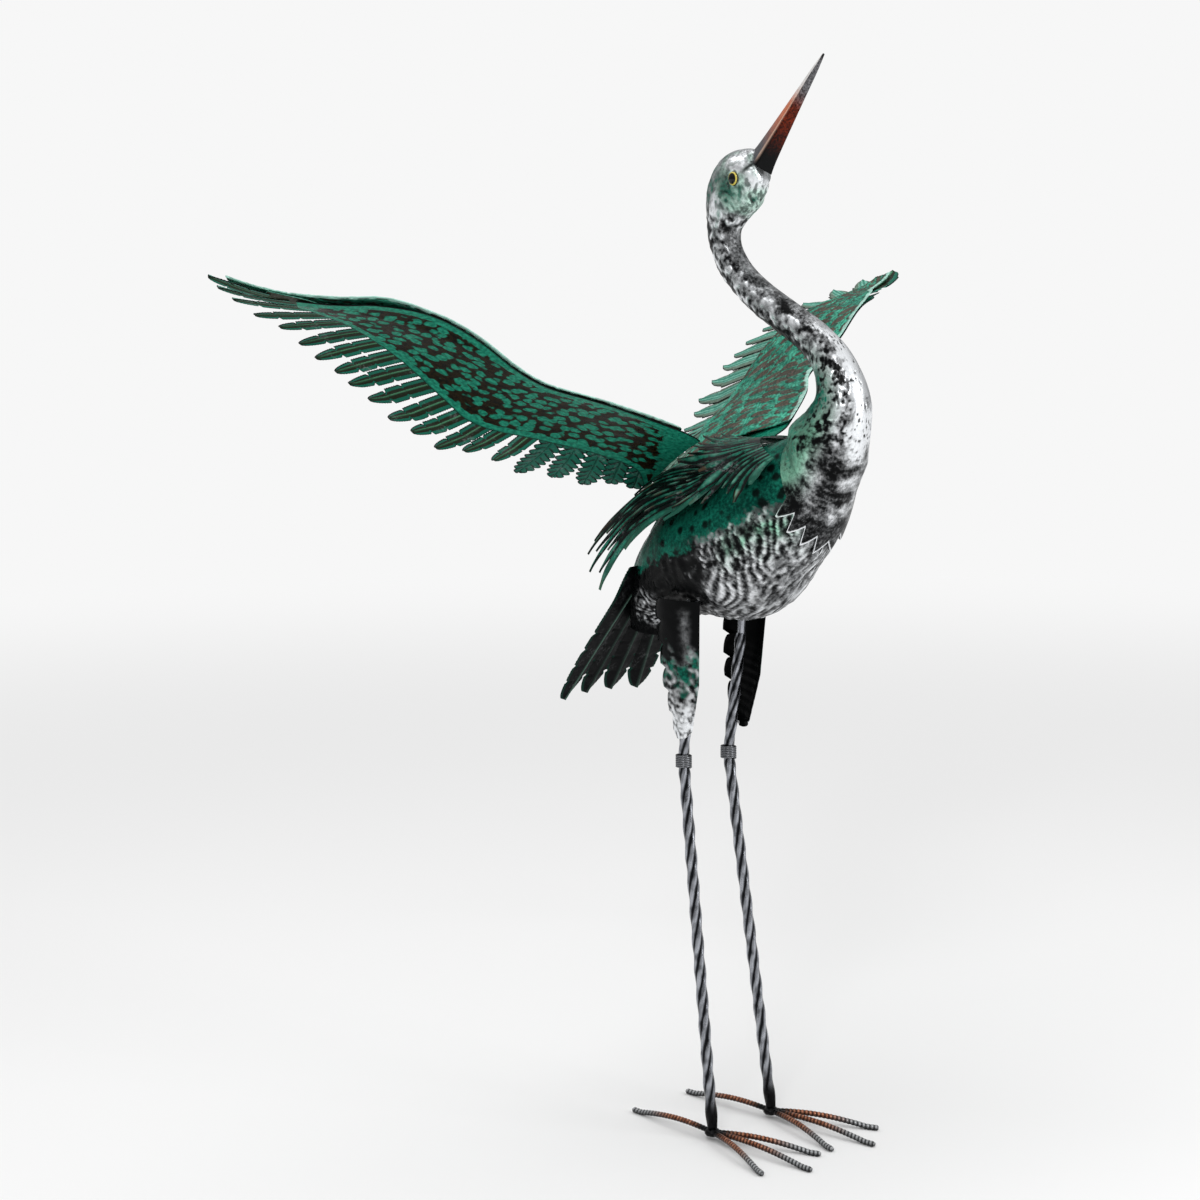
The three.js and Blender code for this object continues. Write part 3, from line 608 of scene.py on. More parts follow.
# What the hammered sheet shows at a spot of the body: how far it stands out, and its paint
def bodyFinish(point, turn, place):
    along, around = place * 330, turn * 62
    x, z = point.x, point.z
    # ripples pressed across the sheet, broken up by dents
    warp = 1.3 * rough(along / 30, around / 30) + 0.7 * rough(along / 11, around / 13, 4)
    leaned = along - bodyLook["rippleLean"] * abs(around)
    ridge = wave(leaned / bodyLook["ripple"] + warp)
    dents = rough(leaned / 4.5, around / 8, 9)
    relief = 0.16 + 0.74 * ridge * (0.3 + 0.7 * smoothStep(-0.4, 0.25, dents))
    relief += 0.3 * rough(along / 4, around / 5, 3)
    # closer folds at the crease of the belly, and blotches instead of ripples under the breast
    creaseX, creaseZ = bodyLook["crease"]
    crease = bell(x, creaseX, 14) * bell(z, creaseZ, 22)
    folds = wave(leaned / 7.5 + 1.6 * rough(along / 20, around / 24, 12))
    relief = lerp(relief, 0.15 + 0.75 * folds, clamp(1.2 * crease))
    belly = smoothStep(2.2, 2.8, abs(turn)) * smoothStep(35, 60, x)
    relief = lerp(relief, 0.5 + 0.55 * rough(along / 7, around / 4, 7), 0.85 * belly)
    # green above a ragged border, with a tint of it just below
    slope = bodyLook["frontSlope"] if x > 0 else bodyLook["rearSlope"]
    border = bodyLook["greenLevel"] + slope * x + 9 * rough(x / 20, z / 20, 2)
    under = border + 9 * rough(x / 5, z / 5, 27) - z
    green = smoothStep(9, -12, under)
    tint = bell(under, 12, 16) * smoothStep(15, 45, x) * (0.7 + 0.6 * rough(x / 9, z / 9, 5))
    # black on the rear half, apart from a rubbed patch, and in places along the border
    patchX, patchZ, patchSize = bodyLook["rearPatch"]
    away = math.hypot(x - patchX, z - patchZ) / patchSize
    patch = smoothStep(1.1, 0.7, away + 0.3 * rough(x / 8, z / 8, 8))
    relief = lerp(relief, 0.4 + 0.75 * rough(along / 4, around / 9, 18), patch)
    dark = smoothStep(14, -14, x + 16 * rough(x / 14, z / 14, 6)) * (1 - 0.8 * patch)
    dark *= 1 - 0.6 * smoothStep(0.3, 0.5, rough(x / 5, z / 5, 21)) * smoothStep(-70, -10, x)
    seam = bell(under, 0, 9) * smoothStep(-0.25, 0.2, rough(x / 7, z / 7, 33))
    dark = max(dark, 0.6 * seam, 0.35 * belly * smoothStep(0.0, 0.4, rough(along / 9, around / 9, 15)))
    relief = lerp(relief, 0.75 + 0.25 * rough(along / 9, around / 9, 3), green)
    return {"relief": clamp(relief), "rib": green, "tone": clamp(dark), "rim": clamp(tint * (1 - green))}


def makeBody():
    mesh = newMesh()

    def place(u, v):
        turn, along = (u - 0.5) * 2 * math.pi, 0.5 - 0.5 * math.cos(math.pi * clamp(v * 1.06 - 0.02))
        if v < 0.005 or v > 0.985:
            centre = middleLine(bodyRings, 0 if v < 0.5 else 1)
            return centre, {"relief": 0.4, "tone": 1.0}
        point = bodyPoint(turn, along, 0)
        facts = bodyFinish(point, turn, along)
        fade = smoothStep(0, 0.03, along) * smoothStep(1.0, 0.97, along)
        sunk = -0.2 - bodyLook["hammerDepth"] * (1 - facts["relief"]) * fade
        return bodyPoint(turn, along, sunk), facts

    addTube(mesh, bodyLook["columns"], bodyLook["rows"], place)
    finishPiece(mesh, "body_shell", hammered, "hammered_steel", ["body"], 60)


makeBody()
print("body ready")

# Neck and head, down to the zigzag collar over the breast
neckRings = {
    "x": [26, 15, 0, -12, -20, -23, -20, -9, 8, 31, 60, 90, 114, 126, 129, 123, 112],
    "z": [966, 962, 953, 938, 920, 905, 888, 870, 854, 838, 822, 805, 784, 762, 742, 722, 702],
    "deep": [17, 25, 31, 29, 22, 17.5, 16, 16, 16, 17, 17.5, 18, 20, 24, 29, 34, 42],
    "wide": [12, 19, 24, 24, 20, 17, 16, 16, 16, 17, 17, 18, 20, 23, 27, 33, 41],
}
neckLook = {
    "columns": 200, "rows": 296, "hammerDepth": 1.0, "neckShare": 0.85, "collarShare": 0.97,
    "chestHighlightTurn": 2.96,     # where the painted highlight of white on the chest is centred
}
# Where each zone of paint fades in, as shares of the way from the crown to the breast
neckZones = {
    "crown": (0.14, 0.08), "head": (0.25, 0.2), "behindEye": (0.08, 0.16), "nape": (0.16, 0.26),
    "throat": (0.24, 0.34), "neckEnd": (0.78, 0.7), "chestHighlight": (0.64, 0.76), "low": (0.66, 0.84),
    "streaks": (0.8, 0.9), "pale": (0.86, 0.97),
}
collar = {
    "start": 0.165, "edge": 0.21, "fall": 0.05, "toothedFrom": 1.9, "teeth": 4, "toothDepth": 0.045,
    "toothLean": 0.06, "height": 2.2,
}
eye = {"x": 8, "z": 955, "radius": 6.3, "spread": 21, "flat": 0.5, "tall": 1.15}


def neckPoint(turn, place, offset):
    centre = middleLine(neckRings, place)
    direction = directionAlong(neckRings, place)
    back = Vector((direction.z, 0, -direction.x))
    centre += back * (math.cos(turn) * (sizeAlong(neckRings["deep"], place) + offset))
    centre.y += math.sin(turn) * (sizeAlong(neckRings["wide"], place) + offset)
    return centre


# What the sheet of the neck and head shows: rubbed specks over black, green low down and round the eye
def neckFinish(point, turn, along):
    front = 0.5 - 0.5 * math.cos(turn)          # 0 on the nape, 1 on the throat and chest
    zone = {name: smoothStep(*limits, along) for name, limits in neckZones.items()}
    low, head, pale = zone["low"], zone["head"], zone["pale"]
    x, y, z = point
    # rubbed specks of three sizes, smoother and darker down the throat
    coarse = rough(x / 14, y / 14, z / 16)
    fine = rough(x / 6, y / 6, z / 7 + 3)
    grainy = rough(x / 2.6, y / 2.6, z / 3.4 + 9)
    relief = 0.36 + 0.16 * bell(front, 0.6, 0.2) * (1 - low) + 0.4 * fine + 0.35 * coarse
    relief += (0.25 + 0.3 * low) * grainy
    relief += 0.3 * smoothStep(0.05, 0.4, fine)
    throat = smoothStep(0.76, 0.88, front + 0.08 * coarse) * zone["throat"] * zone["neckEnd"]
    relief = lerp(relief, 0.4 + 0.2 * coarse + 0.12 * fine, throat)
    # a painted highlight of white on the chest, broken by dark specks, streaks low on the breast, and a
    # bright head with a smooth crown
    fromChest = abs((turn - neckLook["chestHighlightTurn"] + math.pi) % (2 * math.pi) - math.pi)
    chestHighlight = smoothStep(0.8, 0.5, fromChest + 0.4 * coarse + 0.3 * fine + 0.2 * grainy) * zone["chestHighlight"]
    speck = smoothStep(0.3, 0.45, grainy + 0.25 * coarse)
    relief = lerp(relief, 1.0 - 0.75 * speck, chestHighlight)
    streaks = 0.46 + 0.4 * coarse + 0.3 * rough((x + 0.6 * z) / 3, y / 12, (z - 0.6 * x) / 12)
    relief = lerp(relief, streaks, smoothStep(722, 670, z + 16 * coarse) * zone["streaks"])
    relief = lerp(relief, 0.78 + 0.3 * coarse + 0.2 * fine + 0.35 * grainy, head)
    crown = head * smoothStep(0.3, 0.1, front + 0.1 * coarse) * zone["crown"]
    relief = lerp(relief, 0.55 + 0.1 * grainy, crown)
    # a dark nape, green on the flanks of the breast, and green and black round the eye
    napeWidth = 0.26 + 0.2 * rough(z / 22, y / 22, 7)
    dark = smoothStep(napeWidth, napeWidth - 0.14, front) * zone["nape"] * zone["neckEnd"]
    flank = clamp(0.5 + 2.6 * (0.46 - front) + 0.45 * fine + 0.4 * coarse + 0.5 * grainy)
    green = low * lerp(1, 0.6, pale) * flank
    away = math.hypot(x - eye["x"] + 4, z - eye["z"] + 13)
    behind = head * smoothStep(0.62, 0.3, front + 0.4 * coarse + 0.2 * fine) * zone["behindEye"]
    face = smoothStep(26 + 30 * coarse, 8, away) * head
    green = max(green, 0.5 * face, 0.55 * behind)
    mottle = smoothStep(0.05, 0.35, rough(x / 4, y / 4, z / 6 + 31))
    dark = max(dark, 0.6 * smoothStep(36, 20, away) * head * mottle, 0.5 * behind)
    lore = bell(z - eye["z"] - 0.9 * (x - eye["x"]), -1, 3.2) * smoothStep(eye["x"] + 5, eye["x"] + 12, x)
    dark = max(dark, 0.9 * (lore * head))
    eyePatch = 0.55 * smoothStep(34, 14, away + 30 * coarse) * head
    tint = max(lerp(0.6, 1, pale) * low * smoothStep(0.85, 0.5, front), 0.3 * dark, eyePatch)
    relief = lerp(relief, 0.9, green * low)
    return {"relief": clamp(relief), "rib": clamp(green), "tone": clamp(dark), "rim": clamp(tint)}


# The collar's edge and the share of a tooth at a turn round the breast
def collarEdge(turn):
    toothed = (abs(turn) - collar["toothedFrom"]) / (math.pi - collar["toothedFrom"])
    tooth = 1 - abs((toothed * 2 * collar["teeth"]) % 2 - 1) if toothed > 0 else 0.0
    return collar["edge"] + collar["fall"] * toothed + tooth * collar["toothDepth"], tooth, toothed


def makeNeck():
    mesh = newMesh()
    look = neckLook

    def place(u, v):
        turn = (u - 0.5) * 2 * math.pi
        if v < 0.001:
            return middleLine(neckRings, 0), {"relief": 0.4}
        if v <= look["neckShare"]:
            along = v / look["neckShare"]
            point = neckPoint(turn, along, 0)
            facts = neckFinish(point, turn, along)
            socket = bell(math.hypot(point.x - eye["x"], point.z - eye["z"]), eye["radius"] + 3, 2.6)
            sunk = -0.1 - look["hammerDepth"] * (1 - facts["relief"]) - 0.5 * socket
            return neckPoint(turn, along, sunk), facts
        edge, tooth, toothed = collarEdge(turn)     # from here on the sheet lies over the body
        turned = turn - math.copysign(tooth * collar["toothLean"], turn)
        if v <= look["collarShare"]:
            t = (v - look["neckShare"]) / (look["collarShare"] - look["neckShare"])
            foot = bodyPoint(turn, collar["start"], collar["height"])
            if t < 0.3:
                point = neckPoint(turn, 1, -0.3).lerp(foot, t / 0.3)
                reach = 0.0
            else:
                reach = (t - 0.3) / 0.7
                down = lerp(collar["start"], edge, reach)
                point = bodyPoint(lerp(turn, turned, reach), down, collar["height"])
            facts = neckFinish(point, turn, 1)
            shown = smoothStep(0, 0.1, toothed)
            bright = smoothStep(0.93, 0.99, t) * shown
            shade = 0.5 * shown * smoothStep(0.2, 0.8, reach)
            facts["relief"] = max(facts["relief"] * (1 - shade), bright)
            facts["rib"] *= 1 - bright
            return point, facts
        if v < 0.99:
            return bodyPoint(turned, edge, -0.8), {"relief": 0.0, "tone": 1.0}
        return middleLine(bodyRings, 0.14), {"relief": 0.0, "tone": 1.0}

    addTube(mesh, look["columns"], look["rows"], place)
    finishPiece(mesh, "neck_shell", hammered, "hammered_steel", ["neck_and_head"], 60)


makeNeck()
print("neck ready")

# Beak: a long cone of four rounded faces
beakLook = {
    "root": (25, 969), "tip": (104, 1069),
    "along": [0, 0.12, 0.5, 0.85, 1], "deep": [17, 14, 8.5, 4, 1.2], "wide": [11, 9.5, 6, 3, 1],
    "columns": 80, "rows": 90, "roundness": 1.16,
}


def makeBeak():
    mesh = newMesh()
    look = beakLook
    lean = math.atan2(look["tip"][1] - look["root"][1], look["tip"][0] - look["root"][0])

    def place(u, v):
        turn = (u - 0.5) * 2 * math.pi
        ring = clamp((v - 0.02) / 0.96)
        along = sizeAlong(look["along"], ring)
        centre = Vector((lerp(look["root"][0], look["tip"][0], along), 0,
                         lerp(look["root"][1], look["tip"][1], along)))
        if v < 0.005 or v > 0.995:
            return centre, {"tone": along, "relief": 0.0}
        power = look["roundness"]
        size = (abs(math.cos(turn)) ** power + abs(math.sin(turn)) ** power) ** (-1 / power)
        up = math.cos(turn) * size * sizeAlong(look["deep"], ring)
        aside = math.sin(turn) * size * sizeAlong(look["wide"], ring)
        mouth = bell(up, -1.5, 0.7) * smoothStep(0.98, 0.8, along)
        aside *= 1 - 0.12 * mouth
        centre.x -= math.sin(lean) * up
        centre.z += math.cos(lean) * up
        centre.y += aside
        # the upper faces take a painted highlight
        upper = smoothStep(-0.06, 0.1, math.cos(turn))
        ridge = bell(math.cos(turn), 0.04, 0.07) * smoothStep(0.0, 0.1, along) * smoothStep(0.8, 0.6, along)
        upper *= 0.85 + 0.3 * rough(along * 30, turn * 3)
        return centre, {"tone": along, "relief": upper, "rib": 0.7 * ridge}

    addTube(mesh, look["columns"], look["rows"], place)
    finishPiece(mesh, "beak_horn", beakPaint, "beak_paint", ["beak"], 50)


makeBeak()
print("beak ready")


# Eyes: an enamelled bead with a pale ring round the pupil
def makeEye(name, side):
    mesh = newMesh()
    made = bmesh.ops.create_uvsphere(mesh, u_segments=48, v_segments=32, radius=1.0)
    rim = mesh.verts.layers.float["rim"]
    for vert in made["verts"]:
        vert[rim] = math.hypot(vert.co.x, vert.co.z) * (1.0 if vert.co.y * side > 0 else 0.3)
        size = eye["radius"] * 0.98
        vert.co = Vector((eye["x"] + vert.co.x * size + shiftX,
                          side * eye["spread"] + vert.co.y * size * eye["flat"],
                          eye["z"] + vert.co.z * size * eye["tall"])) * 0.001
    finishPiece(mesh, name + "_eye_bead", eyePaint, "eye_enamel", [name + "_eye"], 60)


# Wings: a lower sheet, slit feathers and an upper sheet on each side, placed by span and chord from the root
wing = {
    "root": Vector((0, -60, 708)),
    "span": Vector((-0.432, -0.835, 0.34)).normalized(),
    "chord": Vector((-0.875, 0.295, -0.385)).normalized(),
    "wristLift": 11, "wristAt": 285, "tipDroop": 16, "trailingLift": 10, "trailingDip": 13, "camber": 8,
    "leading": [(-4, 9), (10, 2), (30, 0), (100, 1), (155, 11), (195, 0), (240, -17),
                (300, -27), (340, -26), (375, -12), (420, -8), (470, -10), (493, -8)],
    "liningRear": [(-10, 150), (15, 118), (60, 115), (110, 121), (185, 122), (225, 108),
                   (300, 74), (352, 44), (404, 12)],
    "covertTip": [(380, 32), (430, 14), (470, 6)], "covertCorner": (18, 6), "covertOverhang": 4,
    "liningHeights": (-1.5, -3.0), "covertHeights": (1.5, 5.0),      # at the front edge and behind it
    "liningReach": 0.84, "covertReach": 0.97, "liningOverhang": 2,    # how far each follows the front edge
    "tips": [(493, -8), (478, 24), (457, 54), (429, 84), (401, 98), (374, 121), (352, 138),
             (328, 148), (310, 159), (285, 169), (258, 182), (232, 183), (203, 190), (177, 178),
             (142, 188), (108, 207), (74, 196), (43, 188), (22, 165), (0, 158)],
    "slits": [(440, -2), (400, 6), (352, 34), (300, 62), (225, 98), (185, 112),
              (110, 112), (55, 106), (0, 112)],
    "slitBand": 14, "bandShare": 0.07, "rightHalfWidth": 10.5, "leftHalfWidth": 14, "shingle": 0.9,
    "fernFrom": 15, "fernSpread": 1.35, "fernLobe": 11.0, "fernShingle": 0.6,
    "liningGrid": (44, 150), "covertGrid": (80, 236), "featherGrid": (14, 72),
}
wingUp = wing["chord"].cross(wing["span"]).normalized()
slitCurve = makeCurve(wing["slits"])


def wingPoint(span, chord, height):
    lead = wing["wristLift"] * bell(span, wing["wristAt"], 70) - wing["tipDroop"] * smoothStep(340, 470, span)
    trail = wing["trailingLift"] * smoothStep(240, 350, span) - wing["trailingDip"] * bell(span, 190, 60)
    back = chord / 170
    lift = lead * (1 - back) + trail * back + wing["camber"] * math.sin(math.pi * clamp(chord / 150))
    return wing["root"] + wing["span"] * span + wing["chord"] * chord + wingUp * (lift + height)


# A sheet between two edges, at the first height along the front edge and at the second behind it
def addPanel(mesh, front, rear, grid, heights, reach, finish):
    frontCurve, rearCurve = makeCurve(front), makeCurve(rear)

    def place(u, v):
        start = curvePoint(frontCurve, v * reach)
        end = curvePoint(rearCurve, v)
        span, chord = lerp(start[0], end[0], u), lerp(start[1], end[1], u)
        opened = max(smoothStep(0, 0.5, u), smoothStep(290, 340, span))
        raised, facts = finish(u, v, span, chord, math.dist(start, end))
        facts["uv"] = (span / 500, chord / 500)
        height = lerp(heights[0], heights[1], opened) + raised * lerp(0.4, 1, opened)
        return wingPoint(span, chord, height), facts

    addGrid(mesh, *grid, place)
    thicken(mesh, sheetThickness)


def liningFinish(u, v, span, chord, width):
    edge = min(u * width, (1 - u) * width, v * 500 + 4, (1 - v) * 500 + 1)
    border = smoothStep(16, 4, edge) + 0.9 * smoothStep(62, 14, span + 0.35 * chord)
    raised = 0.25 * rough(span / 9, chord / 9)
    # a thin line of painted shade along the front and rear edges, between this sheet and the sheets beside it
    edgeShadeLine = max(smoothStep(1.0, 0.4, u * width), smoothStep(2.2, 1.0, (1 - u) * width))
    return raised, {"rim": clamp(border), "rib": edgeShadeLine}


# Stamped rows of overlapping feathers on the upper sheet, the front rows over the rear ones
covertLook = {"rows": 6, "width": 19.0, "length": 1.45, "rise": 1.3, "paleEdge": 4.5}


def covertFinish(u, v, span, chord, width):
    look = covertLook
    across = span + 0.25 * chord + 4 * rough(span / 30, chord / 30)
    depth = u * look["rows"]
    for row in range(look["rows"] + 1):
        shifted = across / look["width"] + 0.5 * (row % 2)
        number = math.floor(shifted)
        x = shifted - number - 0.5
        rounded = 0.7 + 0.3 * math.sqrt(max(1 - (2 * x) ** 2, 0))
        length = look["length"] * rounded + 0.25 * rough(number * 3.7, row)
        t = depth - row + 1
        if t <= length:
            break
    t = clamp(t / length)
    blot = t + 0.6 * rough(number * 2.3, row * 1.9) + 0.3 * rough(span / 5, chord / 14)
    blot = smoothStep(0.35, 0.85, blot)
    rim = blot * (0.35 + 0.65 * smoothStep(0.48, 0.2, abs(x)))
    barbs = wave((chord + 6 * abs(x)) / 4.4 + rough(span / 7, chord / 7))
    groove = max(smoothStep(0.955, 0.99, t), smoothStep(0.44, 0.5, abs(x)) * smoothStep(0.3, 0.6, t))
    raised = look["rise"] * (t - 0.5) - 0.3 * (1 - barbs)
    torn = look["paleEdge"] * (1 + 0.5 * rough(span / 7, 2)) * smoothStep(18, 40, span)
    facts = {"rim": clamp(rim), "rib": clamp(0.75 * (1 - barbs) ** 1.4 + 0.8 * groove),
             "tone": clamp(0.15 + 0.4 * rough(number * 1.3, row * 2.1)),
             "relief": smoothStep(torn, torn - 1.2, u * width) * (0.8 + 0.4 * rough(span / 4, 5))}
    return raised, facts


# A feather's half width as a share of its widest, with notches and small teeth down both edges
def featherOutline(along, notches, tipFrom, tipShare, toothed):
    main = 1.0
    if along > tipFrom:
        t = (along - tipFrom) / (1 - tipFrom)
        main = tipShare * math.sqrt(max(1 - t ** 1.7, 0.0))
    for notch, depth in notches:
        main *= 1 - depth * max(1 - abs(along - notch) / 0.018, 0)
    return max(main * (1 - 0.07 * toothed), 0.04)


# One feather, joined to its neighbours in a band between the sheets; the inner ones are lobed like ferns
def addWingFeather(mesh, number, seed, wide, shingle):
    fern = number >= wing["fernFrom"]
    count = len(wing["tips"])
    root = curvePoint(slitCurve, (number + 0.5) / count)
    tip = wing["tips"][number]
    reach = math.dist(root, tip)
    out = ((tip[0] - root[0]) / reach, (tip[1] - root[1]) / reach)
    shade = seed.uniform(0.0, 0.25)
    notchAt = 0.7 + seed.uniform(-0.03, 0.03)
    notches = [(notchAt, 0.6), (notchAt - 0.24, 0.4)] if not fern and not shingle else []
    bandShare = wing["bandShare"]
    tilt = wing["fernShingle"] if fern else shingle

    def place(u, v):
        side = 2 * u - 1
        if v <= bandShare:
            spot = curvePoint(slitCurve, (number + u) / count)
            return wingPoint(spot[0], spot[1] - (1 - v / bandShare) * wing["slitBand"], 0), {"relief": 0.4}
        along = (v - bandShare) / (1 - bandShare)
        lobe = 1.0
        if fern:
            lobe = abs(math.sin(math.pi * (along * reach - 8 * abs(side)) / wing["fernLobe"]))
            shape = math.sqrt(max(1 - max(along - 0.55, 0) ** 2 / 0.2025, 0.0)) * (0.45 + 0.55 * lobe ** 0.6)
            half = wide * wing["fernSpread"] * max(shape, 0.05)
        else:
            half = wide * featherOutline(along, notches, notchAt, 0.82, wave(along * reach / 3.1))
        slit = curvePoint(slitCurve, (number + u) / count)
        join = smoothStep(0, 0.14, along)
        offset = side * half
        middle = (lerp(root[0], tip[0], along), lerp(root[1], tip[1], along))
        free = (middle[0] - offset * out[1], middle[1] + offset * out[0])
        fixed = (slit[0] + out[0] * along * reach, slit[1] + out[1] * along * reach)
        span, chord = lerp(fixed[0], free[0], join), lerp(fixed[1], free[1], join)
        ribLine = bell(side * half, 0, 0.8)
        groove = wave(side * half / 4.2 + 0.5)
        barbs = wave((along * reach + abs(side) * 8) / 3.2)
        lift = join * (1.1 * ribLine - 0.9 * side * side - 0.25 * barbs)
        edge = half * (1 - abs(side)) + (0.0 if along < 0.93 else -0.6)
        gaps = smoothStep(0.5, 0.2, lobe) * smoothStep(0.1, 0.3, abs(side))
        dark = max(smoothStep(1.1, 0.3, edge) * join, shade, gaps, 0.6 * ribLine if fern else 0.0)
        facts = {"rim": 0.8 if fern else smoothStep(0.42, 0.68, abs(side)),
                 "rib": 0.0 if fern else ribLine * smoothStep(1.0, 0.9, along),
                 "tone": clamp(dark), "relief": 0.35 + 0.5 * groove - 0.3 * (1 - barbs)}
        return wingPoint(span, chord, clamp(lift, -1.1, 1.2) + tilt * side * join), facts

    addGrid(mesh, *wing["featherGrid"], place)


def makeWing():
    seed = random.Random(7)
    lining, coverts, feathers, broadFeathers = newMesh(), newMesh(), newMesh(), newMesh()
    liningFront = [(span, chord - wing["liningOverhang"]) for span, chord in wing["leading"]]
    addPanel(lining, liningFront, wing["liningRear"], wing["liningGrid"],
             wing["liningHeights"], wing["liningReach"], liningFinish)
    overhang = [(span, chord - wing["covertOverhang"]) for span, chord in wing["leading"][2:-3]]
    frontEdge = [wing["covertCorner"]] + overhang + wing["leading"][-3:]
    rearEdge = wing["liningRear"][:-2] + wing["covertTip"]
    addPanel(coverts, frontEdge, rearEdge, wing["covertGrid"],
             wing["covertHeights"], wing["covertReach"], covertFinish)
    for number in range(len(wing["tips"])):
        addWingFeather(feathers, number, seed, wing["rightHalfWidth"], 0)
        addWingFeather(broadFeathers, number, seed, wing["leftHalfWidth"], wing["shingle"])
    thicken(feathers, sheetThickness)
    thicken(broadFeathers, sheetThickness)
    for name, ownFeathers in (("right", feathers), ("left", broadFeathers)):
        for mesh, label, material, slotName, node in (
                (lining, "lining_sheet", liningPaint, "green_patina", "wing_lining"),
                (coverts, "covert_sheet", covertPaint, "green_patina", "coverts"),
                (ownFeathers, "feather_sheet", flightPaint, "dark_patina", "flight_feathers")):
            own = mirrorMesh(mesh) if name == "left" else mesh.copy()
            finishPiece(own, name + "_" + label, material, slotName, [name + "_" + node])
    for mesh in (lining, coverts, feathers, broadFeathers):
        mesh.free()


makeWing()
print("wings ready")

# Mantle and ruff: narrow folded strips over the back
stripLook = {"grid": (8, 30), "rootShare": 0.16, "fold": 1.4}
mantle = {"rows": 4, "strips": 28, "clearance": 2.6, "loft": 14}
ruffLook = {"strips": 32, "clearance": 7, "sideLift": 5, "lift": 26}


# A row of strips that share one root line, each with a folded crest and a ragged length
def addFringe(mesh, count, seed, place):
    for strip in range(count):
        whole = 1 - 0.13 * ((strip * 5) % 3) - seed.uniform(0, 0.08)
        middle = (strip + 0.5) / count * 2 - 1
        # lit sets how bright the painted highlight along each strip's crest is, and the second draw how much
        # pale painted highlight sits on its top
        lit, wearAndCrestHighlight, shade = seed.uniform(0.3, 1.0), seed.uniform(-0.3, 0.6), seed.uniform(0, 0.55)
        rust = seed.uniform(-0.6, 0.3)
        lean = seed.uniform(-0.25, 0.25) / count

        def spot(u, v):
            side = 2 * u - 1
            freed = v > stripLook["rootShare"]
            share = lerp(0.92, 0.3, smoothStep(0.72, 1.0, v)) if freed else 1.0
            across = middle + side * share / count + lean * v
            ridge = 1 - abs(side)
            height = 0.4 + stripLook["fold"] * ridge * smoothStep(0.02, 0.2, v)
            flow = 0.8 * rough(strip * 3.1, v * 7)
            # rim is the painted highlight along the crest, with patches from flow, and the edges where it is
            # low take painted shade; rib is the pale painted highlight on the top of the crest
            facts = {"rim": clamp(lit * smoothStep(0.2, 0.7, ridge) + flow * smoothStep(0.2, 0.4, ridge)),
                     "relief": clamp(rust + 0.7 * smoothStep(0.6, 1.0, v) + 0.7 * flow), "tone": shade,
                     "rib": clamp(wearAndCrestHighlight * smoothStep(0.6, 0.9, ridge) * smoothStep(-0.1, 0.4, flow))}
            return place(clamp(across, -1, 1), (whole if freed else 1) * v, height), facts

        addGrid(mesh, *stripLook["grid"], spot)
    thicken(mesh, stripThickness)


def mantleHeight(place):
    return mantle["clearance"] + mantle["loft"] * smoothStep(0.25, 0.6, place)


def makeMantle():
    seed = random.Random(11)
    for row in range(mantle["rows"]):
        back = row / (mantle["rows"] - 1)
        start, reach = lerp(0.27, 0.56, back), lerp(0.2, 0.25, back ** 2)
        rootTurn, tipTurn, rise = lerp(0.8, 1.1, back), lerp(1.2, 1.55, back), lerp(8, 32, back ** 2.2)

        def place(across, along, height):
            turn = -across * lerp(rootTurn, tipTurn, along)
            spot = start + reach * along
            return bodyPoint(turn, spot, mantleHeight(spot) + rise * along + height)

        mesh = newMesh()
        addFringe(mesh, mantle["strips"], seed, place)
        number = str(row + 1)
        finishPiece(mesh, "mantle_strips_" + number, stripPaint, "green_patina", ["mantle_" + number])


def makeRuff():
    def place(across, along, height):
        aside = abs(across)
        under, beside = smoothStep(0.5, 0.7, aside), max(2 * aside - 1, 0)
        rootTurn = 1.2 * aside
        turn = lerp(rootTurn, lerp(rootTurn, 1 + 0.6 * beside, under), along ** 1.3)
        spot = lerp(0.25 - 0.07 * aside, 0.5 - 0.25 * beside ** 1.3, along ** 0.9)
        rise = lerp(ruffLook["lift"], ruffLook["sideLift"], under) * along
        lift = mantleHeight(spot) + ruffLook["clearance"] + rise
        return bodyPoint(-math.copysign(1, across) * turn, spot, lift + height)

    mesh = newMesh()
    addFringe(mesh, ruffLook["strips"], random.Random(5), place)
    finishPiece(mesh, "ruff_strips", stripPaint, "green_patina", ["ruff"])


makeMantle()
makeRuff()
print("mantle ready")

# Tail: a fan of four folded feathers; the outermost on the bird's right shows a pale rib
tail = {
    "feathers": [-1.5, -0.5, 0.5, 1.5], "tipSpread": 35, "rootSpread": 12, "length": 172, "halfWidth": 21,
    "rootFlare": 0.5, "fold": 4, "curveRadius": 250, "root": (-112, 574), "direction": (-0.56, -0.83),
    "ribShown": [0.3, 0.3, 0.3, 1.0], "notches": (0.5, 0.62, 0.74, 0.86), "grid": (22, 90),
}


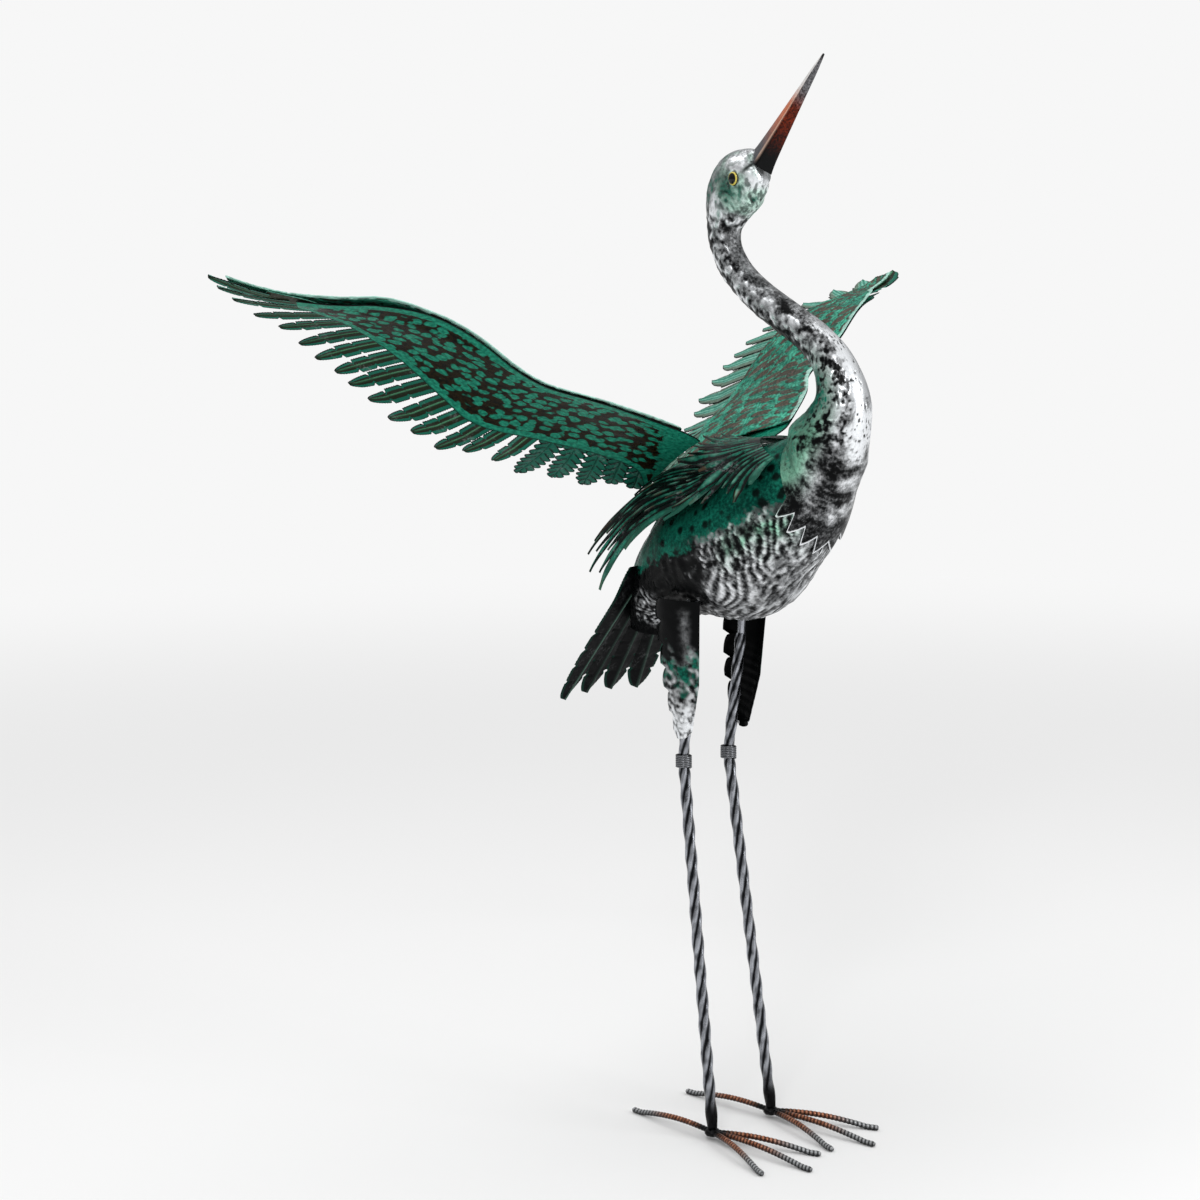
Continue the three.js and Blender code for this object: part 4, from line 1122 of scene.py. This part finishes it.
def makeTail():
    mesh = newMesh()
    down = Vector((tail["direction"][0], 0, tail["direction"][1])).normalized()
    out = Vector((down.z, 0, -down.x))
    seed = random.Random(3)
    for number, spread in enumerate(tail["feathers"]):
        shade = seed.uniform(0, 0.3)

        def place(u, v):
            side = 2 * u - 1
            flare = 1 + tail["rootFlare"] * (1 - smoothStep(0, 0.3, v))
            half = tail["halfWidth"] * flare * math.sqrt(1 - (max(v - 0.6, 0) / 0.41) ** 2)
            for notch in tail["notches"]:
                half *= 1 - 0.28 * max(1 - abs(v - notch) / 0.016, 0)
            half *= 1 - 0.03 * wave(v * 42)
            aside = spread * lerp(tail["rootSpread"], tail["tipSpread"], v) + side * half
            point = Vector((tail["root"][0], -aside, tail["root"][1])) + down * (v * tail["length"])
            ribLine = bell(side * half, 0, 1.2)
            height = -aside ** 2 / tail["curveRadius"] / 2 - tail["fold"] * (1 - abs(side))
            barbs = wave((v * tail["length"] + abs(side) * 14) / 4.4)
            height -= (number % 2) * 0.6 + 0.5 * ribLine + 0.3 * barbs
            point += out * height
            margin = smoothStep(4.5, 1.0, half * (1 - abs(side)))
            return point, {"rim": margin, "rib": ribLine * tail["ribShown"][number], "tone": shade}

        addGrid(mesh, *tail["grid"], place)
    thicken(mesh, sheetThickness)
    finishPiece(mesh, "tail_fan", tailPaint, "dark_patina", ["tail"])


makeTail()
print("tail ready")

# Legs: twisted square bar in two lengths, the upper one with a round peg on its top
leg = {
    "footSpread": 44, "hubHeight": 7.5, "toeRadius": 3, "lift": 2, "kneeGap": 0.9,
    "knee": (-49, 33, 379), "hip": (-36, 38, 503), "pegTop": (-33, 38, 550), "pegRadius": 4,
    "radius": 6.1, "endRadius": 4.9, "taper": 12, "pitch": 115, "upperTurn": 0.6, "roundness": 1.3,
    "columns": 24, "rowLength": 1.6, "pegRows": 20,
}


def onSide(spot, side):
    return Vector((spot[0], side * spot[1], spot[2]))


def addBar(mesh, start, end, turnFrom, taperStart, taperEnd, blackBelow):
    length = (end - start).length
    axis = (end - start).normalized()
    side = Vector((0, 1, 0)).cross(axis).normalized()
    other = axis.cross(side)

    def place(u, v):
        along = clamp((v - 0.01) / 0.98)
        at = start.lerp(end, along)
        if v < 0.004 or v > 0.996:
            return at, {"relief": 0.2, "tone": 0.5}
        turn = u * 2 * math.pi
        nearStart = taperStart * (1 - along * length / leg["taper"])
        nearEnd = taperEnd * (1 - (1 - along) * length / leg["taper"])
        radius = lerp(leg["radius"], leg["endRadius"], clamp(max(nearStart, nearEnd)))
        power = leg["roundness"]
        radius *= (abs(math.cos(turn)) ** power + abs(math.sin(turn)) ** power) ** (-1 / power)
        twist = turn + turnFrom + along * length / leg["pitch"] * 2 * math.pi
        corner = abs(math.cos(2 * turn))
        relief = smoothStep(0.1, 0.8, corner) * (0.8 + 0.4 * rough(along * length / 8, turn))
        dark = blackBelow * smoothStep(46, 12, along * length)
        point = at + side * radius * math.cos(twist) + other * radius * math.sin(twist)
        return point, {"relief": relief, "tone": dark}

    addTube(mesh, leg["columns"], int(length / leg["rowLength"]), place)


def makeLegs(name, side):
    knee, hip, pegTop = (onSide(leg[spot], side) for spot in ("knee", "hip", "pegTop"))
    foot = Vector((0, side * leg["footSpread"], leg["hubHeight"] + leg["toeRadius"] + leg["lift"]))
    gapUp = Vector((0, 0, leg["kneeGap"]))
    lower = newMesh()
    addBar(lower, foot, knee - gapUp, 0, 0, 1, 1.0)
    finishPiece(lower, name + "_lower_bar", barSteel, "twisted_bar", [name + "_lower_leg"], 60)
    upper = newMesh()
    addBar(upper, knee + gapUp, hip, leg["upperTurn"], 1, 1, 0.0)
    pegFoot = Vector((hip.x, hip.y, hip.z - leg["pegRadius"]))

    def peg(u, v):
        at = pegFoot.lerp(pegTop, clamp((v - 0.05) / 0.9))
        radius = 0.0 if v < 0.02 or v > 0.98 else leg["pegRadius"] * 0.98
        turn = u * 2 * math.pi
        return at + Vector((radius * math.cos(turn), radius * math.sin(turn), 0)), {"relief": 0.9}

    addTube(upper, leg["columns"], leg["pegRows"], peg)
    finishPiece(upper, name + "_upper_bar", barSteel, "twisted_bar", [name + "_upper_leg"], 60)


# Wire wound round each knee
wrap = {
    "height": 15, "turns": 7, "wireRadius": 1.02, "middleRadius": 7.35, "columns": 10, "rowsPerTurn": 24,
}


def makeWrap(name, side):
    mesh = newMesh()
    centre = onSide(leg["knee"], side)

    def place(u, v):
        around = v * wrap["turns"] * 2 * math.pi
        out = Vector((math.cos(around), math.sin(around), 0))
        rise = lerp(-1, 1, v) * (wrap["height"] / 2 - wrap["wireRadius"] - 0.1)
        at = centre + out * wrap["middleRadius"] + Vector((0, 0, rise))
        if v < 0.0001 or v > 0.9999:
            return at, {"relief": 0.3}
        turn = u * 2 * math.pi
        facing = math.cos(turn)
        point = at + out * (wrap["wireRadius"] * facing) + Vector((0, 0, wrap["wireRadius"] * math.sin(turn)))
        return point, {"relief": smoothStep(0.2, 1.0, facing) * (0.8 + 0.2 * rough(around * 2, turn))}

    addTube(mesh, wrap["columns"], wrap["turns"] * wrap["rowsPerTurn"], place)
    finishPiece(mesh, name + "_knee_coil", wireSteel, "wrap_wire", [name + "_knee_wrap"], 60)


# Thighs: curved leaf shells with feather teeth down the rear edge
thigh = {
    "top": 545, "bottom": 404, "topX": -42, "bottomX": -41, "topSpread": 47, "bottomSpread": 40,
    "teeth": 6, "toothDepth": 9, "halfWidth": 33, "bulgeTop": 12, "bulgeBottom": 7, "halfTurn": 1.3,
    "waist": 0.6, "grid": (36, 120),
}


def makeThighs():
    mesh = newMesh()

    def place(u, v):
        below = max(v - thigh["waist"], 0) / (1 - thigh["waist"])
        taper = 1 - 0.2 * min(v / thigh["waist"], 1) - 0.46 * below
        bulge = lerp(thigh["bulgeTop"], thigh["bulgeBottom"], v)
        turn = (2 * u - 1) * thigh["halfTurn"]
        saw = (v * thigh["teeth"]) % 1.0
        tooth = math.sqrt(max(1 - ((0.85 - saw) / 0.85) ** 2, 0)) if saw < 0.85 else (1 - saw) / 0.15
        rear = thigh["toothDepth"] * (1 - tooth) * smoothStep(0.35, 0.0, u)
        ripple = 0.35 * wave((v * 129 - 10 * u) / 8.0) * smoothStep(0.3, 0.5, v) + 0.3 * rough(u * 6, v * 16)
        x = lerp(thigh["topX"], thigh["bottomX"], v) + (thigh["halfWidth"] * taper) * math.sin(turn) + rear
        y = lerp(thigh["topSpread"], thigh["bottomSpread"], v) + (bulge - 0.5 + ripple) * math.cos(turn)
        z = lerp(thigh["top"], thigh["bottom"], v)
        if v > 0.94:     # the lower end is rounded
            z += 9 * (1 - math.cos(turn)) * (v - 0.94) / 0.06
        patch = rough(u * 5, v * 9, 4) * 0.16
        silverShare = smoothStep(0.62, 0.85, v + patch)
        greenShare = bell(v + patch, 0.53, 0.15) * (0.6 + 0.7 * rough(u * 8, v * 22, 14))
        dark = 1 - max(silverShare, 0.75 * smoothStep(0.36, 0.5, v + patch))
        bright = clamp(0.48 + 0.6 * rough(u * 10, v * 34, 8) + 0.22 * silverShare)
        # a painted highlight down the ridge of the shell, lifting the black there to grey
        ridgeHighlight = bell(u, 0.7, 0.09) * smoothStep(0.02, 0.12, v) * (0.75 + 0.4 * rough(u * 7, v * 14, 3))
        bright = lerp(bright, 0.62, clamp(ridgeHighlight) * dark)
        dark = clamp(dark * (1 - 0.5 * ridgeHighlight))
        return Vector((x, -y, z)), {"relief": bright, "rib": clamp(greenShare), "tone": dark}

    addGrid(mesh, *thigh["grid"], place)
    thicken(mesh, sheetThickness)
    marks = mesh.verts.layers.float
    for vert in mesh.verts:     # the inner side is plain black
        if vert[marks["under"]] > 0.5:
            vert[marks["tone"]], vert[marks["rib"]], vert[marks["relief"]] = 1.0, 0.0, 0.0
    left = mirrorMesh(mesh)
    finishPiece(mesh, "right_thigh_leaf", hammered, "dark_patina", ["right_thigh"], 45)
    finishPiece(left, "left_thigh_leaf", hammered, "dark_patina", ["left_thigh"], 45)


# Feet: ribbed rods that meet in a weld under the leg
toes = {
    "ends": [(107, 44), (135, 4), (113, -35), (-116, -4)], "arch": 3, "flat": 12,
    "ribEvery": 4.4, "ribDepth": 0.45, "weldRadius": 8.0, "weldFlat": 0.62,
    "columns": 14, "rowsPerLength": 1.3,
}


def makeFoot(name, side):
    mesh = newMesh()
    for endX, endY in toes["ends"]:
        start = Vector((0, side * leg["footSpread"], leg["hubHeight"]))
        away = Vector((endX, side * endY, 0))
        length = away.length
        away.normalize()
        beside = Vector((-away.y, away.x, 0))
        flatFrom = 1 - toes["flat"] / length

        def place(u, v):
            share = clamp((v - 0.015) / 0.97)
            along = min(share / flatFrom, 1)
            at = start + away * (share * length)
            arch = toes["arch"] * max(math.sin(math.pi * along), 0)
            at.z = lerp(leg["hubHeight"], leg["toeRadius"], along ** 2) + arch
            if v < 0.005 or v > 0.995:
                return at, {"relief": 0.5, "tone": share}
            turn = u * 2 * math.pi
            rib = wave(share * length / toes["ribEvery"] + 0.12 * math.sin(turn))
            radius = leg["toeRadius"] - toes["ribDepth"] * (1 - rib)
            radius *= 1 - 0.25 * smoothStep(0.985, 1.0, share)
            point = at + beside * (radius * math.cos(turn)) + Vector((0, 0, radius * math.sin(turn)))
            # relief: painted highlight on the upper side of each rib, painted shade in the grooves and
            # underneath
            return point, {"relief": rib * smoothStep(-0.4, 0.6, math.sin(turn)), "tone": share}

        addTube(mesh, toes["columns"], int(length * toes["rowsPerLength"]), place)
    for vert in bmesh.ops.create_icosphere(mesh, subdivisions=3, radius=1.0)["verts"]:
        swell = toes["weldRadius"] * (1 + 0.12 * rough(*(vert.co * 2.2)))
        vert.co = Vector((shiftX + vert.co.x * swell, side * leg["footSpread"] + vert.co.y * swell,
                          leg["hubHeight"] + vert.co.z * swell * toes["weldFlat"])) * 0.001
    finishPiece(mesh, name + "_toe_rods", toeSteel, "toe_rod", [name + "_foot"], 60)


for sideName, sideSign in (("right", -1), ("left", 1)):
    makeEye(sideName, sideSign)
    makeLegs(sideName, sideSign)
    makeWrap(sideName, sideSign)
    makeFoot(sideName, sideSign)
makeThighs()
print("legs and feet ready")

# Floor, light and camera; places and sizes of the lights are metres
room = {
    "floorSize": 60.0, "floorColour": 0.88, "backdrop": 0.93, "fadeFrom": 0.9, "fadeTo": 4.5,
    "skyTop": 0.85, "skySide": 0.22,
}
lights = {
    "keyLight": {"place": (1.6, -2.4, 2.6), "target": (0, 0, 0.6), "size": (0.8, 0.8), "power": 25},
    "sideLight": {"place": (2.8, 0.8, 1.6), "target": (0, 0, 0.6), "size": (1.2, 2.0), "power": 34},
    "topLight": {"place": (-0.6, -0.2, 3.0), "target": (0, 0, 0.5), "size": (2.0, 2.0), "power": 20},
}
camera = {
    "target": (shiftX, 0, 560), "away": (1675.3, -1828.2, 317.7), "lens": 75.72,
    "shift": (-0.1183, -0.0142), "clipEnd": 50,
}


def grey(level):
    return (level,) * 3 + (1,)


def makeFloor():
    floorMesh = bmesh.new()
    bmesh.ops.create_grid(floorMesh, x_segments=1, y_segments=1, size=room["floorSize"] / 2)
    data = bpy.data.meshes.new("studioFloor")
    floorMesh.to_mesh(data)
    floorMesh.free()
    material, s, principled = newMaterial("studioFloor")
    away = s.add("ShaderNodeVectorMath", {"operation": "LENGTH"}, i0=s.place()).outputs["Value"]
    fade = s.span(away, room["fadeFrom"], room["fadeTo"])
    base = s.mix(fade, grey(room["floorColour"]), grey(0))     # far off, the floor fades into the backdrop
    finishMaterial(s, principled, base, 0.8, 0.0, specular=0.0)
    s.put(s.mix(fade, grey(0), grey(room["backdrop"])), principled.inputs["Emission Color"])
    s.put(1.0, principled.inputs["Emission Strength"])
    data.materials.append(material)
    floor = bpy.data.objects.new("studioFloor", data)
    bpy.context.scene.collection.objects.link(floor)


def makeWorld():
    world = bpy.data.worlds.new("studioWorld")
    world.use_nodes = True
    s = Shader(world.node_tree)
    height = s.add("ShaderNodeSeparateXYZ", None, Vector=s.place("Generated")).outputs["Z"]
    sky = s.span(height, 0.0, 0.9, room["skySide"], room["skyTop"])
    seen = s.add("ShaderNodeLightPath").outputs["Is Camera Ray"]
    s.put(s.mix(seen, sky, grey(room["backdrop"])), world.node_tree.nodes["Background"].inputs["Color"])
    bpy.context.scene.world = world


def makeLight(name, place, target, size, power):
    light = bpy.data.lights.new(name, "AREA")
    light.shape = "RECTANGLE"
    light.size, light.size_y = size
    light.energy = power
    lamp = bpy.data.objects.new(name, light)
    lamp.location = place
    lamp.rotation_euler = (Vector(target) - Vector(place)).to_track_quat("-Z", "Y").to_euler()
    bpy.context.scene.collection.objects.link(lamp)


def makeCamera():
    data = bpy.data.cameras.new("photoCamera")
    data.lens, data.sensor_width, data.sensor_fit = camera["lens"], 36, "HORIZONTAL"
    data.shift_x, data.shift_y = camera["shift"]
    data.clip_end = camera["clipEnd"]
    body = bpy.data.objects.new("photoCamera", data)
    target = Vector(camera["target"]) * 0.001
    body.location = target + Vector(camera["away"]) * 0.001
    body.rotation_euler = (target - body.location).to_track_quat("-Z", "Y").to_euler()
    bpy.context.scene.collection.objects.link(body)
    bpy.context.scene.camera = body


bpy.context.scene.view_settings.view_transform = "Standard"
makeFloor()
makeWorld()
for lightName, lamp in lights.items():
    makeLight(lightName, **lamp)
makeCamera()

print("scene ready")
